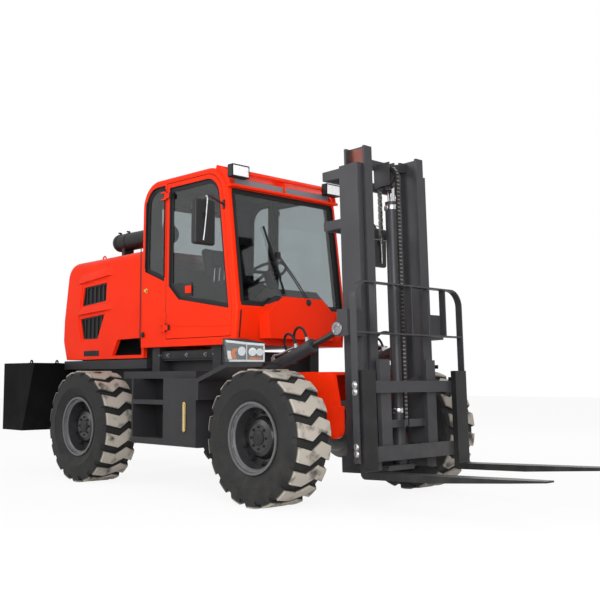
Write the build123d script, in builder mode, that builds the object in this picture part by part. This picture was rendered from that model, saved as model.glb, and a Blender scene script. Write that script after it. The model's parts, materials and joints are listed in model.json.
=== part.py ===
from build123d import *
import os
from math import cos, radians, sin, tan

os.makedirs("parts", exist_ok=True)

# Rough terrain forklift. X runs forward, Y to the driver's left, Z up; the ground is Z = 0.
# Fits
seam = 6
running_fit = 0.3
seat_fit = 0.3

# Wheels and axles
tyre_diameter = 1076
tyre_width = 404
tread_width = 380
carcass_diameter = 1008
shoulder_diameter = 950
lug_count = 18
lug_length = 112
lug_root = 465
lug_shoulder_step = 2
lug_end_drop = 45
lug_end_inset = 22
bead_diameter = 508
bead_width = 300
flange_diameter = 566
flange_width = 12
rim_width = 340
rim_wall = 16
hub_diameter = 300
hub_inner = 100
hub_cap = 95
disc_inner = 10
disc_outer = 35
spindle_diameter = 140
spindle_reach = 150
drum_diameter = 340
drum_gap = 8
track = 1860
wheelbase = 2570
axle_z = tyre_diameter / 2
tyre_radius = tyre_diameter / 2

# Places along the machine, as distances from the front axle
counterweight_back = 4350
counterweight_top_front = 3640
counterweight_bottom_front = 3880
hood_back = 3722
hood_front = 2132
cab_back = 2120
cab_front = 690
deck_back = 2080
deck_front = 960
front_frame_back = deck_front
mast_pin_ahead = 300
mast_pin_z = 600

# Mast, drawn upright about its foot pin and then leant back
rest_lean = 2.0
tilt_back = 10.0
fork_length = 1500
fork_thickness = 50
fork_width = 150
fork_shank_thickness = 50
fork_spacing = 1170
fork_blade_top = -317
fork_tip_thickness = 12
bar_front = 430
lean_cos = cos(radians(rest_lean))
lean_sin = sin(radians(rest_lean))
fork_tip_ahead = bar_front + fork_shank_thickness + fork_length
fork_tip_low = fork_blade_top - fork_tip_thickness
fork_reach = mast_pin_ahead + fork_tip_ahead * lean_cos - fork_tip_low * lean_sin

# The box of the whole machine is centred on X = 0
front_axle_x = (counterweight_back - fork_reach) / 2
rear_axle_x = front_axle_x - wheelbase
mast_pin_x = front_axle_x + mast_pin_ahead

# Frame
rail_inner = 405
rail_thickness = 40
rail_outer = rail_inner + rail_thickness
rail_bottom = 660
rail_top = 1100
deck_z = 1066
deck_thickness = 66
deck_half_width = 900
rear_deck_z = 1190
rear_deck_half_width = 640
ear_thickness = 40
ear_outer = rail_outer + ear_thickness
front_box_top = 1054
front_box_bottom = 740
cradle_top = 745
cradle_plate = 40
mast_back_gap = 15
pin_diameter = 70
pin_boss = 80

# Cab
cab_half_width = 700
cab_wall = 50
cab_bottom = 1300
cab_roof = 2915
floor_thickness = 50
belt_z = 1605
glass_thickness = 8
door_back = 1690
door_bottom = 1375
door_frame = 40
hinge_out = 15
nose_thickness = 50

# Hood
hood_half_width = 640
hood_wall = 40
hood_bottom = 1196
hood_top_front = 2280
hood_top_mid = 2268
hood_top_back = 2258

# Tilt cylinders
tilt_y = 555
tilt_barrel_diameter = 110
tilt_rod_diameter = 50
tilt_anchor_back = 480
tilt_anchor_z = 1037
tilt_eye_x = 185
tilt_eye_z = 785
tilt_pin_diameter = 40
tilt_eye_play = 8

# Rear steering
kingpin_y = 640
kingpin_diameter = 60
fist_diameter = 120
fist_height = 180


def behind(distance):
    return front_axle_x - distance


def slab(x0, x1, y0, y1, z0, z1, mode=Mode.ADD):
    with Locations(((x0 + x1) / 2, (y0 + y1) / 2, (z0 + z1) / 2)):
        Box(x1 - x0, y1 - y0, z1 - z0, mode=mode)


def side_plate(points, y0, y1, mode=Mode.ADD):
    with BuildSketch(Plane.XZ.offset(-y0)) as profile:
        Polygon(*points, align=None)
    extrude(profile.sketch, amount=y0 - y1, mode=mode)


def cross_bar(radius, x, y0, y1, z, mode=Mode.ADD):
    with Locations(Location((x, y0, z), (-90, 0, 0))):
        Cylinder(radius, y1 - y0, align=(Align.CENTER, Align.CENTER, Align.MIN), mode=mode)


def round_corners(sketch, corners):
    for corner_x, corner_y, radius in corners:
        fillet(sketch.vertices().sort_by_distance((corner_x, corner_y, 0))[0], radius)


# Tyre drawn about Z, its outer side up
carcass_half = tyre_width / 2
carcass_profile = [
    # radius, half width
    (bead_diameter / 2 + seat_fit, bead_width / 2),
    (flange_diameter / 2 + 5, bead_width / 2 + 5),
    (380, carcass_half),
    (shoulder_diameter / 2, tread_width / 2),
    (carcass_diameter / 2, tread_width / 2 - 25),
]
with BuildPart() as lug:
    half_tread = tread_width / 2 - lug_shoulder_step
    lug_line = [
        # place across the tread, shift along it
        (-1.1 * half_tread, -25),
        (-0.37 * half_tread, 28),
        (0.16 * half_tread, -40),
        (1.1 * half_tread, 5),
    ]
    with BuildSketch(Plane.YZ.offset(lug_root)):
        leading = [(shift + lug_length / 2, across) for across, shift in lug_line]
        trailing = [(shift - lug_length / 2, across) for across, shift in reversed(lug_line)]
        Polygon(*leading, *trailing, align=None)
    extrude(amount=tyre_radius)
    with BuildSketch(Plane.XZ):
        Polygon(
            (lug_root / 2, -half_tread),
            (tyre_radius - lug_end_drop, -half_tread),
            (tyre_radius, lug_end_inset - half_tread),
            (tyre_radius, half_tread - lug_end_inset),
            (tyre_radius - lug_end_drop, half_tread),
            (lug_root / 2, half_tread),
            align=None,
        )
    revolve(axis=Axis.Z, mode=Mode.INTERSECT)

with BuildPart() as tyre:
    with BuildSketch(Plane.XZ):
        upper = [(radius, half) for radius, half in carcass_profile]
        lower = [(radius, -half) for radius, half in reversed(carcass_profile)]
        Polygon(*upper, *lower, align=None)
    revolve(axis=Axis.Z)
    with PolarLocations(0, lug_count, start_angle=180 / lug_count):
        add(lug.part)

# Rim with its dished disc and hub
rim_outer_z = rim_width / 2
seat_radius = bead_diameter / 2
barrel_radius = seat_radius - rim_wall
hub_radius = hub_diameter / 2
flange_radius = flange_diameter / 2
with BuildPart() as rim:
    with BuildSketch(Plane.XZ):
        Polygon(
            (spindle_diameter / 2 + running_fit, -hub_inner),
            (hub_radius, -hub_inner),
            (hub_radius, disc_inner),
            (barrel_radius, disc_inner),
            (barrel_radius, -rim_outer_z),
            (flange_radius, -rim_outer_z),
            (flange_radius, -rim_outer_z + flange_width),
            (seat_radius, -bead_width / 2),
            (seat_radius, bead_width / 2),
            (flange_radius, rim_outer_z - flange_width),
            (flange_radius, rim_outer_z),
            (flange_radius - 18, rim_outer_z),
            (flange_radius - 24, rim_outer_z - 22),
            (barrel_radius, rim_outer_z - 40),
            (barrel_radius, disc_outer),
            (hub_radius + 20, disc_outer),
            (hub_radius + 12, disc_outer + 22),
            (hub_radius - 8, hub_cap - 14),
            (hub_radius - 40, hub_cap),
            (0, hub_cap),
            (0, spindle_reach - hub_inner + running_fit),
            (spindle_diameter / 2 + running_fit, spindle_reach - hub_inner + running_fit),
            align=None,
        )
    revolve(axis=Axis.Z)

wheel_places = [
    # name, axle place, side
    ("front_right", front_axle_x, -1),
    ("front_left", front_axle_x, 1),
    ("rear_right", rear_axle_x, -1),
    ("rear_left", rear_axle_x, 1),
]
for wheel_name, wheel_x, side in wheel_places:
    wheel_place = Location((wheel_x, side * track / 2, axle_z), (-side * 90, 0, 0))
    with BuildPart() as tyre_here:
        with Locations(wheel_place):
            add(tyre.part)
    tyre_here.part.label = f"tyre_{wheel_name}"
    export_step(tyre_here.part, f"parts/tyre_{wheel_name}.step")
    with BuildPart() as rim_here:
        with Locations(wheel_place):
            add(rim.part)
    rim_here.part.label = f"rim_{wheel_name}"
    export_step(rim_here.part, f"parts/rim_{wheel_name}.step")

# Front axle: differential, trumpets, brake drums and spindles
hub_face_y = track / 2 - hub_inner
spindle_end_y = hub_face_y + spindle_reach
axle_profile = [
    # distance from the middle, radius
    (0, 205),
    (90, 205),
    (150, 150),
    (320, 105),
    (640, 90),
    (650, drum_diameter / 2),
    (hub_face_y - drum_gap, drum_diameter / 2),
    (hub_face_y - drum_gap, spindle_diameter / 2),
    (spindle_end_y, spindle_diameter / 2),
]
axle_saddle_x = 110
with BuildPart() as front_axle:
    with BuildSketch(Plane.YZ.offset(front_axle_x)):
        outline = [(y, axle_z + radius) for y, radius in axle_profile]
        Polygon((0, axle_z), *outline, (spindle_end_y, axle_z), align=None)
    revolve(axis=Axis((front_axle_x, 0, axle_z), (0, 1, 0)))
    mirror(about=Plane.XZ)
    with Locations([(front_axle_x, side * (rail_outer + ear_outer) / 2, axle_z) for side in (-1, 1)]):
        Box(2 * axle_saddle_x, ear_thickness, front_box_bottom - axle_z,
            align=(Align.CENTER, Align.CENTER, Align.MIN))
front_axle.part.label = "front_axle"
export_step(front_axle.part, "parts/front_axle.step")

# Rear axle: differential and beam to the kingpin fists
beam_profile = [
    # distance from the middle, radius
    (0, 190),
    (80, 190),
    (140, 120),
    (300, 75),
    (kingpin_y - fist_diameter / 4, 62),
]
cradle_half_length = 150
with BuildPart() as rear_axle:
    with BuildSketch(Plane.YZ.offset(rear_axle_x)):
        outline = [(y, axle_z + radius) for y, radius in beam_profile]
        Polygon((0, axle_z), *outline, (beam_profile[-1][0], axle_z), align=None)
    revolve(axis=Axis((rear_axle_x, 0, axle_z), (0, 1, 0)))
    with Locations((rear_axle_x, kingpin_y, axle_z)):
        Cylinder(fist_diameter / 2, fist_height)
        Cylinder(kingpin_diameter / 2 + running_fit, fist_height, mode=Mode.SUBTRACT)
    mirror(about=Plane.XZ)
    with Locations((rear_axle_x, 0, axle_z)):
        Box(2 * cradle_half_length, 200, cradle_top - axle_z,
            align=(Align.CENTER, Align.CENTER, Align.MIN))
rear_axle.part.label = "rear_axle"
export_step(rear_axle.part, "parts/rear_axle.step")

# Steering knuckles: yoke, kingpin and spindle
yoke_gap = 5
yoke_plate = 30
yoke_half = 68
web_inner = fist_diameter / 2 + 8
web_thickness = 32
with BuildPart() as knuckle_left:
    with Locations((rear_axle_x, kingpin_y, axle_z)):
        with Locations(
            (0, 0, fist_height / 2 + yoke_gap + yoke_plate / 2),
            (0, 0, -fist_height / 2 - yoke_gap - yoke_plate / 2),
        ):
            Cylinder(yoke_half, yoke_plate)
            Box(2 * yoke_half, web_inner + web_thickness, yoke_plate,
                align=(Align.CENTER, Align.MIN, Align.CENTER))
        Cylinder(kingpin_diameter / 2, fist_height + 2 * yoke_gap + 2 * yoke_plate)
        with Locations((0, web_inner, 0)):
            Box(2 * yoke_half, web_thickness, fist_height + 2 * yoke_gap + 2 * yoke_plate,
                align=(Align.CENTER, Align.MIN, Align.CENTER))
        with Locations(Location((0, web_inner + web_thickness, 0), (-90, 0, 0))):
            Cylinder(drum_diameter / 2, hub_face_y - drum_gap - kingpin_y - web_inner - web_thickness,
                     align=(Align.CENTER, Align.CENTER, Align.MIN))
            Cylinder(spindle_diameter / 2, spindle_end_y - kingpin_y - web_inner - web_thickness,
                     align=(Align.CENTER, Align.CENTER, Align.MIN))
knuckle_left.part.label = "knuckle_left"
export_step(knuckle_left.part, "parts/knuckle_left.step")
with BuildPart() as knuckle_right:
    mirror(knuckle_left.part, about=Plane.XZ)
knuckle_right.part.label = "knuckle_right"
export_step(knuckle_right.part, "parts/knuckle_right.step")

# Counterweight with its sloping front face, hood hinge ears and tow pin
counterweight_top = 1170
counterweight_bottom = 440
counterweight_half_width = 1000
counterweight_round = 30
hood_hinge_back = 3672
hood_hinge_z = 1196
hood_hinge_pin = 16
hood_hinge_boss = 18
hood_hinge_y = 360
hood_lug_width = 30
hood_ear_gap = 8
tow_pin_diameter = 40
tow_slot_height = 90
tow_slot_width = 160
tow_slot_depth = 150
tow_z = 620
tow_pin_foot = 515


def counterweight_face(z):
    share = (z - counterweight_bottom) / (counterweight_top - counterweight_bottom)
    return behind(counterweight_bottom_front + share * (counterweight_top_front - counterweight_bottom_front))


hood_hinge_x = behind(hood_hinge_back)
hood_ear_inner = hood_hinge_y - hood_lug_width / 2 - hood_ear_gap
hood_ear_outer = hood_hinge_y + hood_lug_width / 2 + hood_ear_gap
with BuildPart() as counterweight:
    side_plate(
        [
            (behind(counterweight_back), counterweight_bottom),
            (behind(counterweight_bottom_front), counterweight_bottom),
            (behind(counterweight_top_front), counterweight_top),
            (behind(counterweight_back), counterweight_top),
        ],
        -counterweight_half_width,
        counterweight_half_width,
    )
    fillet(counterweight.edges().group_by(Axis.X)[0], counterweight_round)
    slot_back = behind(counterweight_back)
    slab(slot_back, slot_back + tow_slot_depth, -tow_slot_width / 2, tow_slot_width / 2,
         tow_z - tow_slot_height / 2, tow_z + tow_slot_height / 2, Mode.SUBTRACT)
    with Locations((slot_back + tow_slot_depth / 2, 0, tow_pin_foot)):
        Cylinder(tow_pin_diameter / 2, counterweight_top - tow_pin_foot,
                 align=(Align.CENTER, Align.CENTER, Align.MIN), mode=Mode.SUBTRACT)
    for ear_y in (hood_ear_inner, hood_ear_outer):
        with BuildSketch(Plane.XZ.offset(-ear_y)) as ear:
            with Locations((hood_hinge_x, hood_hinge_z)):
                Circle(hood_hinge_boss)
            with Locations((hood_hinge_x, counterweight_top - 1)):
                Rectangle(2 * hood_hinge_boss, hood_hinge_z - counterweight_top + 1, align=(Align.CENTER, Align.MIN))
        extrude(amount=hood_ear_gap / 2, both=True)
    cross_bar(hood_hinge_pin / 2, hood_hinge_x, hood_ear_inner, hood_ear_outer, hood_hinge_z)
    mirror(about=Plane.XZ)
counterweight.part.label = "counterweight"
export_step(counterweight.part, "parts/counterweight.step")

# Frame: rails, cross members, side decks, rear deck and cab stands
cross_member_places = [3500, 2150, 1750, 1150]
cross_member_length = 80
stand_places = [1950, 1020]
stand_size = 120
stand_y = 560
beam_height = 80
subframe_half_width = 500
subframe_gap = 50
with BuildPart() as frame:
    side_plate(
        [
            (counterweight_face(rail_bottom), rail_bottom),
            (behind(front_frame_back), rail_bottom),
            (behind(front_frame_back) + 300, front_box_bottom),
            (behind(front_frame_back) + 300, front_box_top),
            (behind(deck_back) + 60, front_box_top),
            (behind(deck_back), rail_top),
            (counterweight_face(rail_top), rail_top),
        ],
        rail_inner,
        rail_outer,
    )
    slab(behind(deck_back), behind(deck_front), rail_outer, deck_half_width, deck_z - deck_thickness, deck_z)
    slab(behind(counterweight_top_front), behind(deck_back), rail_inner - 75, rear_deck_half_width,
         rail_top, rear_deck_z)
    for stand in stand_places:
        slab(behind(stand) - stand_size / 2, behind(stand) + stand_size / 2,
             stand_y - stand_size / 2, stand_y + stand_size / 2, deck_z, cab_bottom)
    slab(behind(stand_places[0]), behind(stand_places[1]), stand_y - 30, stand_y + 30,
         cab_bottom - subframe_gap - beam_height, cab_bottom - subframe_gap)
    slab(behind(stand_places[0]), behind(stand_places[1]), 0, subframe_half_width,
         front_box_top, cab_bottom - subframe_gap)
    mirror(about=Plane.XZ)
    for place in cross_member_places:
        slab(behind(place) - cross_member_length / 2, behind(place) + cross_member_length / 2,
             -rail_inner, rail_inner, rail_bottom + 40, rail_bottom + 240)
    slab(rear_axle_x - cradle_half_length, rear_axle_x + cradle_half_length, -rail_inner, rail_inner,
         cradle_top, cradle_top + cradle_plate)
frame.part.label = "frame"
export_step(frame.part, "parts/frame.step")

# Front frame: red side plates with the mast ears, top plate and tilt cylinder pins
full_back = rest_lean + tilt_back
mast_rear = 95


def mast_back_line(z):
    reach = mast_rear / cos(radians(full_back)) - (z - mast_pin_z) * tan(radians(full_back))
    return mast_pin_x + reach - mast_back_gap


tilt_anchor_x = behind(tilt_anchor_back)
with BuildPart() as front_frame:
    with BuildSketch(Plane.XZ.offset(-rail_outer)) as ear_plate:
        Polygon(
            (behind(front_frame_back), rail_bottom + 80),
            (mast_pin_x - 60, front_box_bottom),
            (mast_back_line(front_box_bottom + 40), front_box_bottom + 40),
            (mast_back_line(front_box_top), front_box_top),
            (behind(front_frame_back), front_box_top),
            align=None,
        )
        with Locations((mast_pin_x, mast_pin_z)):
            Circle(pin_boss)
            Rectangle(2 * pin_boss, front_box_bottom + 40 - mast_pin_z, align=(Align.CENTER, Align.MIN))
    extrude(amount=-ear_thickness)
    cross_bar(pin_diameter / 2, mast_pin_x, rail_inner - 45, ear_outer, mast_pin_z)
    cross_bar(tilt_pin_diameter / 2, tilt_anchor_x, ear_outer, tilt_y + 45, tilt_anchor_z)
    mirror(about=Plane.XZ)
    slab(behind(200), mast_back_line(front_box_top), -rail_outer, rail_outer, front_box_top - 25, front_box_top)
    slab(behind(200), behind(160), -rail_outer, rail_outer, front_box_bottom + 20, front_box_top)
front_frame.part.label = "front_frame"
export_step(front_frame.part, "parts/front_frame.step")

# Side tanks with the step recesses, one on each side
tank_back = 1790
tank_front = 830
tank_inner = 500
tank_half_width = 1000
tank_bottom = 412
step_front = 1300
step_side = 20
step_depth = 260
step_z = 790
step_tread = 40
step_floor = 60
with BuildPart() as side_tanks:
    slab(behind(tank_back), behind(tank_front), tank_inner, tank_half_width, tank_bottom, deck_z - deck_thickness)
    tank_edges = side_tanks.edges().filter_by(Axis.X).group_by(Axis.Z)[0]
    fillet(tank_edges, 25)
    for low, high in (
        (tank_bottom + step_floor, step_z - step_tread / 2),
        (step_z + step_tread / 2, deck_z - deck_thickness),
    ):
        slab(behind(tank_back) + step_side, behind(step_front), tank_half_width - step_depth, tank_half_width,
             low, high, Mode.SUBTRACT)
    mirror(about=Plane.XZ)
side_tanks.part.label = "side_tanks"
export_step(side_tanks.part, "parts/side_tanks.step")

# Front fenders: bent plates carried from the deck
fender_thickness = 10
fender_inner = 740
fender_outer = 1110
fender_line = [
    # distance ahead of the front axle, height
    (130, 1127),
    (-300, 1127),
    (-694, 997),
    (-694, 823),
]
fender_arm_y = 790
fender_lip = 35
with BuildPart() as front_fenders:
    for plate_start, plate_depth in (
        (fender_inner, fender_thickness),
        (fender_outer - fender_thickness, fender_lip),
    ):
        with BuildSketch(Plane.XZ.offset(-plate_start)):
            with BuildLine():
                Polyline(*[(front_axle_x + ahead, z) for ahead, z in fender_line])
                offset(amount=plate_depth, side=Side.LEFT)
            make_face()
        extrude(amount=plate_start - fender_outer)
    slab(behind(tank_front), front_axle_x + fender_line[2][0] + 4, fender_arm_y - 30, fender_arm_y + 30,
         fender_line[3][1] + 40, fender_line[3][1] + 120)
    mirror(about=Plane.XZ)
front_fenders.part.label = "front_fenders"
export_step(front_fenders.part, "parts/front_fenders.step")

# Engine as one plain block between the rails
engine_back = 3320
engine_front = 2420
engine_half_width = 290
engine_bottom = 900
engine_top = 2080
with BuildPart() as engine:
    slab(behind(engine_back), behind(engine_front), -engine_half_width, engine_half_width, engine_bottom, engine_top)
    for foot in (engine_back - 120, engine_front + 120):
        slab(behind(foot) - 50, behind(foot) + 50, -rail_inner, rail_inner, engine_bottom, engine_bottom + 60)
engine.part.label = "engine"
export_step(engine.part, "parts/engine.step")

# Hood shell with its side vents, wheel arch openings and hinge lugs
hood_line = [
    # distance behind the front axle, height
    (3652, hood_bottom + 6),
    (hood_back, 1400),
    (3712, 1640),
    (3610, hood_top_back),
    (2900, hood_top_mid),
    (hood_front, hood_top_front),
    (hood_front, hood_bottom + 6),
]
hood_corner_radius = 190
hood_edge_radius = 80
arch_window = [(2700, 1235), (2600, 1395), (2100, 1405), (2100, cab_bottom), (2172, cab_bottom), (2172, 1235)]
vent_margin = 36
vent_recess = 6
vent_tables = {
    "upper": [(3309, 1772), (3266, 1975), (2824, 2000), (2837, 1806)],
    "lower": [(3335, 1640), (2861, 1672), (2987, 1415), (3276, 1418)],
}
rear_grille_half_width = 400
rear_grille_low = 1670
rear_grille_high = 2040


def hood_outline(inset):
    with BuildSketch(Plane.XZ) as outline:
        Polygon(*[(behind(back), z) for back, z in hood_line], align=None)
        round_corners(outline, [
            (behind(hood_line[3][0]), hood_top_back, hood_corner_radius),
            (behind(hood_back), hood_line[1][1], 200),
        ])
        if inset:
            offset(amount=-inset, mode=Mode.REPLACE)
            with Locations((behind(hood_front), hood_bottom)):
                Rectangle(2 * hood_wall, 1000, align=(Align.CENTER, Align.MIN))
            with Locations((behind(3600), hood_bottom)):
                Rectangle(3600 - hood_front, 2 * hood_wall, align=(Align.MIN, Align.MIN))
    return outline.sketch


with BuildPart() as hood:
    extrude(hood_outline(0), amount=hood_half_width, both=True)
    side_edges = hood.faces().filter_by(Axis.Y).edges()
    round_edges = side_edges.filter_by(lambda edge: edge.center().Z > hood_bottom + 60
                                       and edge.center().X < behind(hood_front) - 10)
    fillet(round_edges, hood_edge_radius)
    extrude(hood_outline(hood_wall), amount=hood_half_width - hood_wall, both=True, mode=Mode.SUBTRACT)
    for side in (-1, 1):
        for points in vent_tables.values():
            with BuildSketch(Plane.XZ.offset(-side * hood_half_width)):
                Polygon(*[(behind(back), z) for back, z in points], align=None)
                offset(amount=vent_margin, mode=Mode.REPLACE)
            extrude(amount=side * vent_recess, mode=Mode.SUBTRACT)
    for points in [arch_window] + list(vent_tables.values()):
        with BuildSketch(Plane.XZ):
            Polygon(*[(behind(back), z) for back, z in points], align=None)
        extrude(amount=2 * hood_half_width, both=True, mode=Mode.SUBTRACT)
    slab(behind(hood_back), behind(3450), -rear_grille_half_width, rear_grille_half_width,
         rear_grille_low, rear_grille_high, Mode.SUBTRACT)
    for side in (-1, 1):
        with BuildSketch(Plane.XZ.offset(-side * hood_hinge_y)):
            with Locations((hood_hinge_x, hood_hinge_z)):
                Circle(hood_hinge_boss)
                Rectangle(60, hood_hinge_boss, align=(Align.MIN, Align.MIN))
            with Locations((hood_hinge_x, hood_hinge_z)):
                Circle(hood_hinge_pin / 2 + running_fit, mode=Mode.SUBTRACT)
        extrude(amount=hood_lug_width / 2, both=True)
hood.part.label = "hood"
export_step(hood.part, "parts/hood.step")

# Vent grilles: vertical bars between a top and a bottom strip, and the rear louvres
grille_depth = 16
grille_bar = 14
grille_bar_count = 5
grille_rim = 14
louvre_count = 6
grille_inset = 10


def rear_wall_x(z):
    low_back, low_z = hood_line[2]
    high_back, high_z = hood_line[3]
    return behind(low_back + (z - low_z) / (high_z - low_z) * (high_back - low_back))


with BuildPart() as hood_grilles:
    for points in vent_tables.values():
        backs = [back for back, z in points]
        heights = [z for back, z in points]
        with BuildSketch(Plane.XZ.offset(hood_half_width - hood_wall / 2)) as vent:
            Polygon(*[(behind(back), z) for back, z in points], align=None)
            offset(amount=-seat_fit, mode=Mode.REPLACE)
            inside = offset(amount=-grille_rim, mode=Mode.PRIVATE)
            add(inside, mode=Mode.SUBTRACT)
            pitch = (max(backs) - min(backs)) / (grille_bar_count + 1)
            bars = [(behind(max(backs) - pitch * (index + 1)), (min(heights) + max(heights)) / 2)
                    for index in range(grille_bar_count)]
            with Locations(bars):
                Rectangle(grille_bar, max(heights) - min(heights))
            Polygon(*[(behind(back), z) for back, z in points], align=None, mode=Mode.INTERSECT)
            offset(amount=-seat_fit, mode=Mode.REPLACE)
        extrude(amount=-grille_depth)
    mirror(about=Plane.XZ)
    side_plate(
        [
            (rear_wall_x(rear_grille_low) + grille_inset, rear_grille_low + seat_fit),
            (rear_wall_x(rear_grille_high) + grille_inset, rear_grille_high - seat_fit),
            (rear_wall_x(rear_grille_high) + grille_inset + grille_depth, rear_grille_high - seat_fit),
            (rear_wall_x(rear_grille_low) + grille_inset + grille_depth, rear_grille_low + seat_fit),
        ],
        seat_fit - rear_grille_half_width,
        rear_grille_half_width - seat_fit,
    )
    louvre_pitch = (rear_grille_high - rear_grille_low) / (louvre_count + 1)
    for index in range(louvre_count):
        slot_z = rear_grille_low + (index + 1) * louvre_pitch
        slab(behind(hood_back), behind(3450), grille_rim - rear_grille_half_width,
             rear_grille_half_width - grille_rim, slot_z - louvre_pitch / 4, slot_z + louvre_pitch / 4, Mode.SUBTRACT)
hood_grilles.part.label = "hood_grilles"
export_step(hood_grilles.part, "parts/hood_grilles.step")

# Cab
roof_front_radius = 290
roof_back_radius = 250
cab_edge_radius = 35
screen_low = 1640
screen_high = cab_roof - 215
screen_half_width = cab_half_width - 60
screen_inset = 20
door_inset = 62
quarter_front = 1722
quarter_inset = 68
rear_window_half_width = cab_half_width - 180
rear_window_low = 2060
rear_window_high = cab_roof - 175
window_line = [
    # distance behind the front axle, height of the door window's lower edge
    (door_back, 1890),
    (1651, 1873),
    (1495, 1736),
    (600, 1590),
]
quarter_line = [(2200, 2096), (1600, 1877)]
hinge_heights = [1480, cab_roof - 175]
hinge_pin = 16
hinge_barrel = 28
hinge_length = 50
hinge_bracket = 14
hinge_leaf = 60
side_recess = 6
recess_line = [
    # distance behind the front axle, height of the crease along door and side panel
    (2160, 1790),
    (2052, 1757),
    (1725, 1650),
    (1523, 1489),
    (923, 1464),
    (600, 1464),
]
window_sky = cab_roof + 300
cab_corners = [
    # distance behind the front axle, height
    (cab_front, cab_bottom),
    (660, belt_z),
    (834, cab_roof),
    (2095, cab_roof),
    (cab_back, cab_bottom),
]


def cab_outline(inset, plane):
    with BuildSketch(plane) as outline:
        Polygon(*[(behind(back), z) for back, z in cab_corners], align=None)
        round_corners(outline, [
            (behind(cab_corners[2][0]), cab_roof, roof_front_radius),
            (behind(cab_corners[3][0]), cab_roof, roof_back_radius),
        ])
        if inset:
            offset(amount=-inset, mode=Mode.REPLACE)
    return outline.sketch


def door_outline(growth, plane):
    with BuildSketch(plane) as outline:
        add(cab_outline(door_inset - growth, Plane.XY))
        with Locations((behind(door_back) - growth, door_bottom - growth)):
            Rectangle(2000, 2000, align=(Align.MIN, Align.MIN), mode=Mode.INTERSECT)
    return outline.sketch


def door_window(growth, plane):
    with BuildSketch(plane) as outline:
        add(door_outline(growth - door_frame, Plane.XY))
        top = [(behind(back), z - growth) for back, z in window_line]
        Polygon(*top, (behind(600), window_sky), (behind(door_back), window_sky), align=None, mode=Mode.INTERSECT)
    return outline.sketch


def quarter_window(growth, plane):
    with BuildSketch(plane) as outline:
        add(cab_outline(quarter_inset - growth, Plane.XY))
        low = [(behind(back), z - growth) for back, z in quarter_line]
        Polygon(*low, (behind(1600), window_sky), (behind(2200), window_sky), align=None, mode=Mode.INTERSECT)
        with Locations((behind(quarter_front) + growth, 1500)):
            Rectangle(1000, 2000, align=(Align.MAX, Align.MIN), mode=Mode.INTERSECT)
    return outline.sketch


def screen_x(z):
    share = (z - belt_z) / (cab_roof - belt_z)
    return behind(cab_corners[1][0] + share * (cab_corners[2][0] - cab_corners[1][0]))


def low_panel(plane):
    with BuildSketch(plane) as outline:
        crease = [(behind(back), z) for back, z in recess_line]
        Polygon(*crease, (behind(600), cab_bottom - 50), (behind(2160), cab_bottom - 50), align=None)
    return outline.sketch


right_side = Plane.XZ.offset(cab_half_width)
hinge_x = behind(door_back) - seam / 2
hinge_y = cab_half_width + hinge_out
with BuildPart() as cab_frame:
    extrude(cab_outline(0, Plane.XZ), amount=cab_half_width, both=True)
    cab_edges = cab_frame.faces().filter_by(Axis.Y).edges()
    fillet(cab_edges.filter_by(lambda edge: edge.center().Z > cab_bottom + 20), cab_edge_radius)
    extrude(cab_outline(cab_wall, Plane.XZ), amount=cab_half_width - cab_wall, both=True, mode=Mode.SUBTRACT)
    extrude(low_panel(right_side), amount=-side_recess, mode=Mode.SUBTRACT)
    extrude(door_outline(seam, Plane.XZ), amount=2 * cab_half_width, both=True, mode=Mode.SUBTRACT)
    extrude(quarter_window(0, Plane.XZ), amount=2 * cab_half_width, both=True, mode=Mode.SUBTRACT)
    slab(behind(1000), behind(500), -screen_half_width, screen_half_width, screen_low, screen_high, Mode.SUBTRACT)
    slab(behind(1000), behind(500), -screen_half_width, screen_half_width, cab_bottom + floor_thickness,
         belt_z, Mode.SUBTRACT)
    slab(behind(cab_back + 20), behind(cab_back - 200), -rear_window_half_width, rear_window_half_width,
         rear_window_low, rear_window_high, Mode.SUBTRACT)
    for hinge_z in hinge_heights:
        for end in (-1, 1):
            bracket_z = hinge_z + end * (hinge_length / 2 + hinge_bracket / 2 + running_fit)
            slab(hinge_x - hinge_leaf, hinge_x, -hinge_y - hinge_barrel / 2, -cab_half_width - 1,
                 bracket_z - hinge_bracket / 2, bracket_z + hinge_bracket / 2)
            with Locations((hinge_x, -hinge_y, bracket_z)):
                Cylinder(hinge_barrel / 2, hinge_bracket)
            slab(hinge_x - hinge_leaf, hinge_x - seam, -hinge_y, side_recess + 2 - cab_half_width,
                 bracket_z - hinge_bracket / 2, bracket_z + hinge_bracket / 2)
        with Locations((hinge_x, -hinge_y, hinge_z)):
            Cylinder(hinge_pin / 2, hinge_length + 2 * hinge_bracket)
    split(bisect_by=Plane.XZ, keep=Keep.TOP)
    mirror(about=Plane.XZ)
cab_frame.part.label = "cab_frame"
export_step(cab_frame.part, "parts/cab_frame.step")

with BuildPart() as door_right:
    extrude(door_outline(0, right_side), amount=-cab_wall)
    extrude(low_panel(right_side), amount=-side_recess, mode=Mode.SUBTRACT)
    extrude(door_window(0, right_side), amount=-cab_wall, mode=Mode.SUBTRACT)
    for hinge_z in hinge_heights:
        with Locations((hinge_x, -hinge_y, hinge_z)):
            Cylinder(hinge_barrel / 2, hinge_length)
        slab(hinge_x, hinge_x + hinge_leaf, -hinge_y - hinge_barrel / 4, side_recess + 2 - cab_half_width,
             hinge_z - hinge_length / 2, hinge_z + hinge_length / 2)
        with Locations((hinge_x, -hinge_y, hinge_z)):
            Cylinder(hinge_pin / 2 + running_fit, hinge_length, mode=Mode.SUBTRACT)
door_right.part.label = "door_right"
export_step(door_right.part, "parts/door_right.step")
with BuildPart() as door_left:
    mirror(door_right.part, about=Plane.XZ)
door_left.part.label = "door_left"
export_step(door_left.part, "parts/door_left.step")

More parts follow.
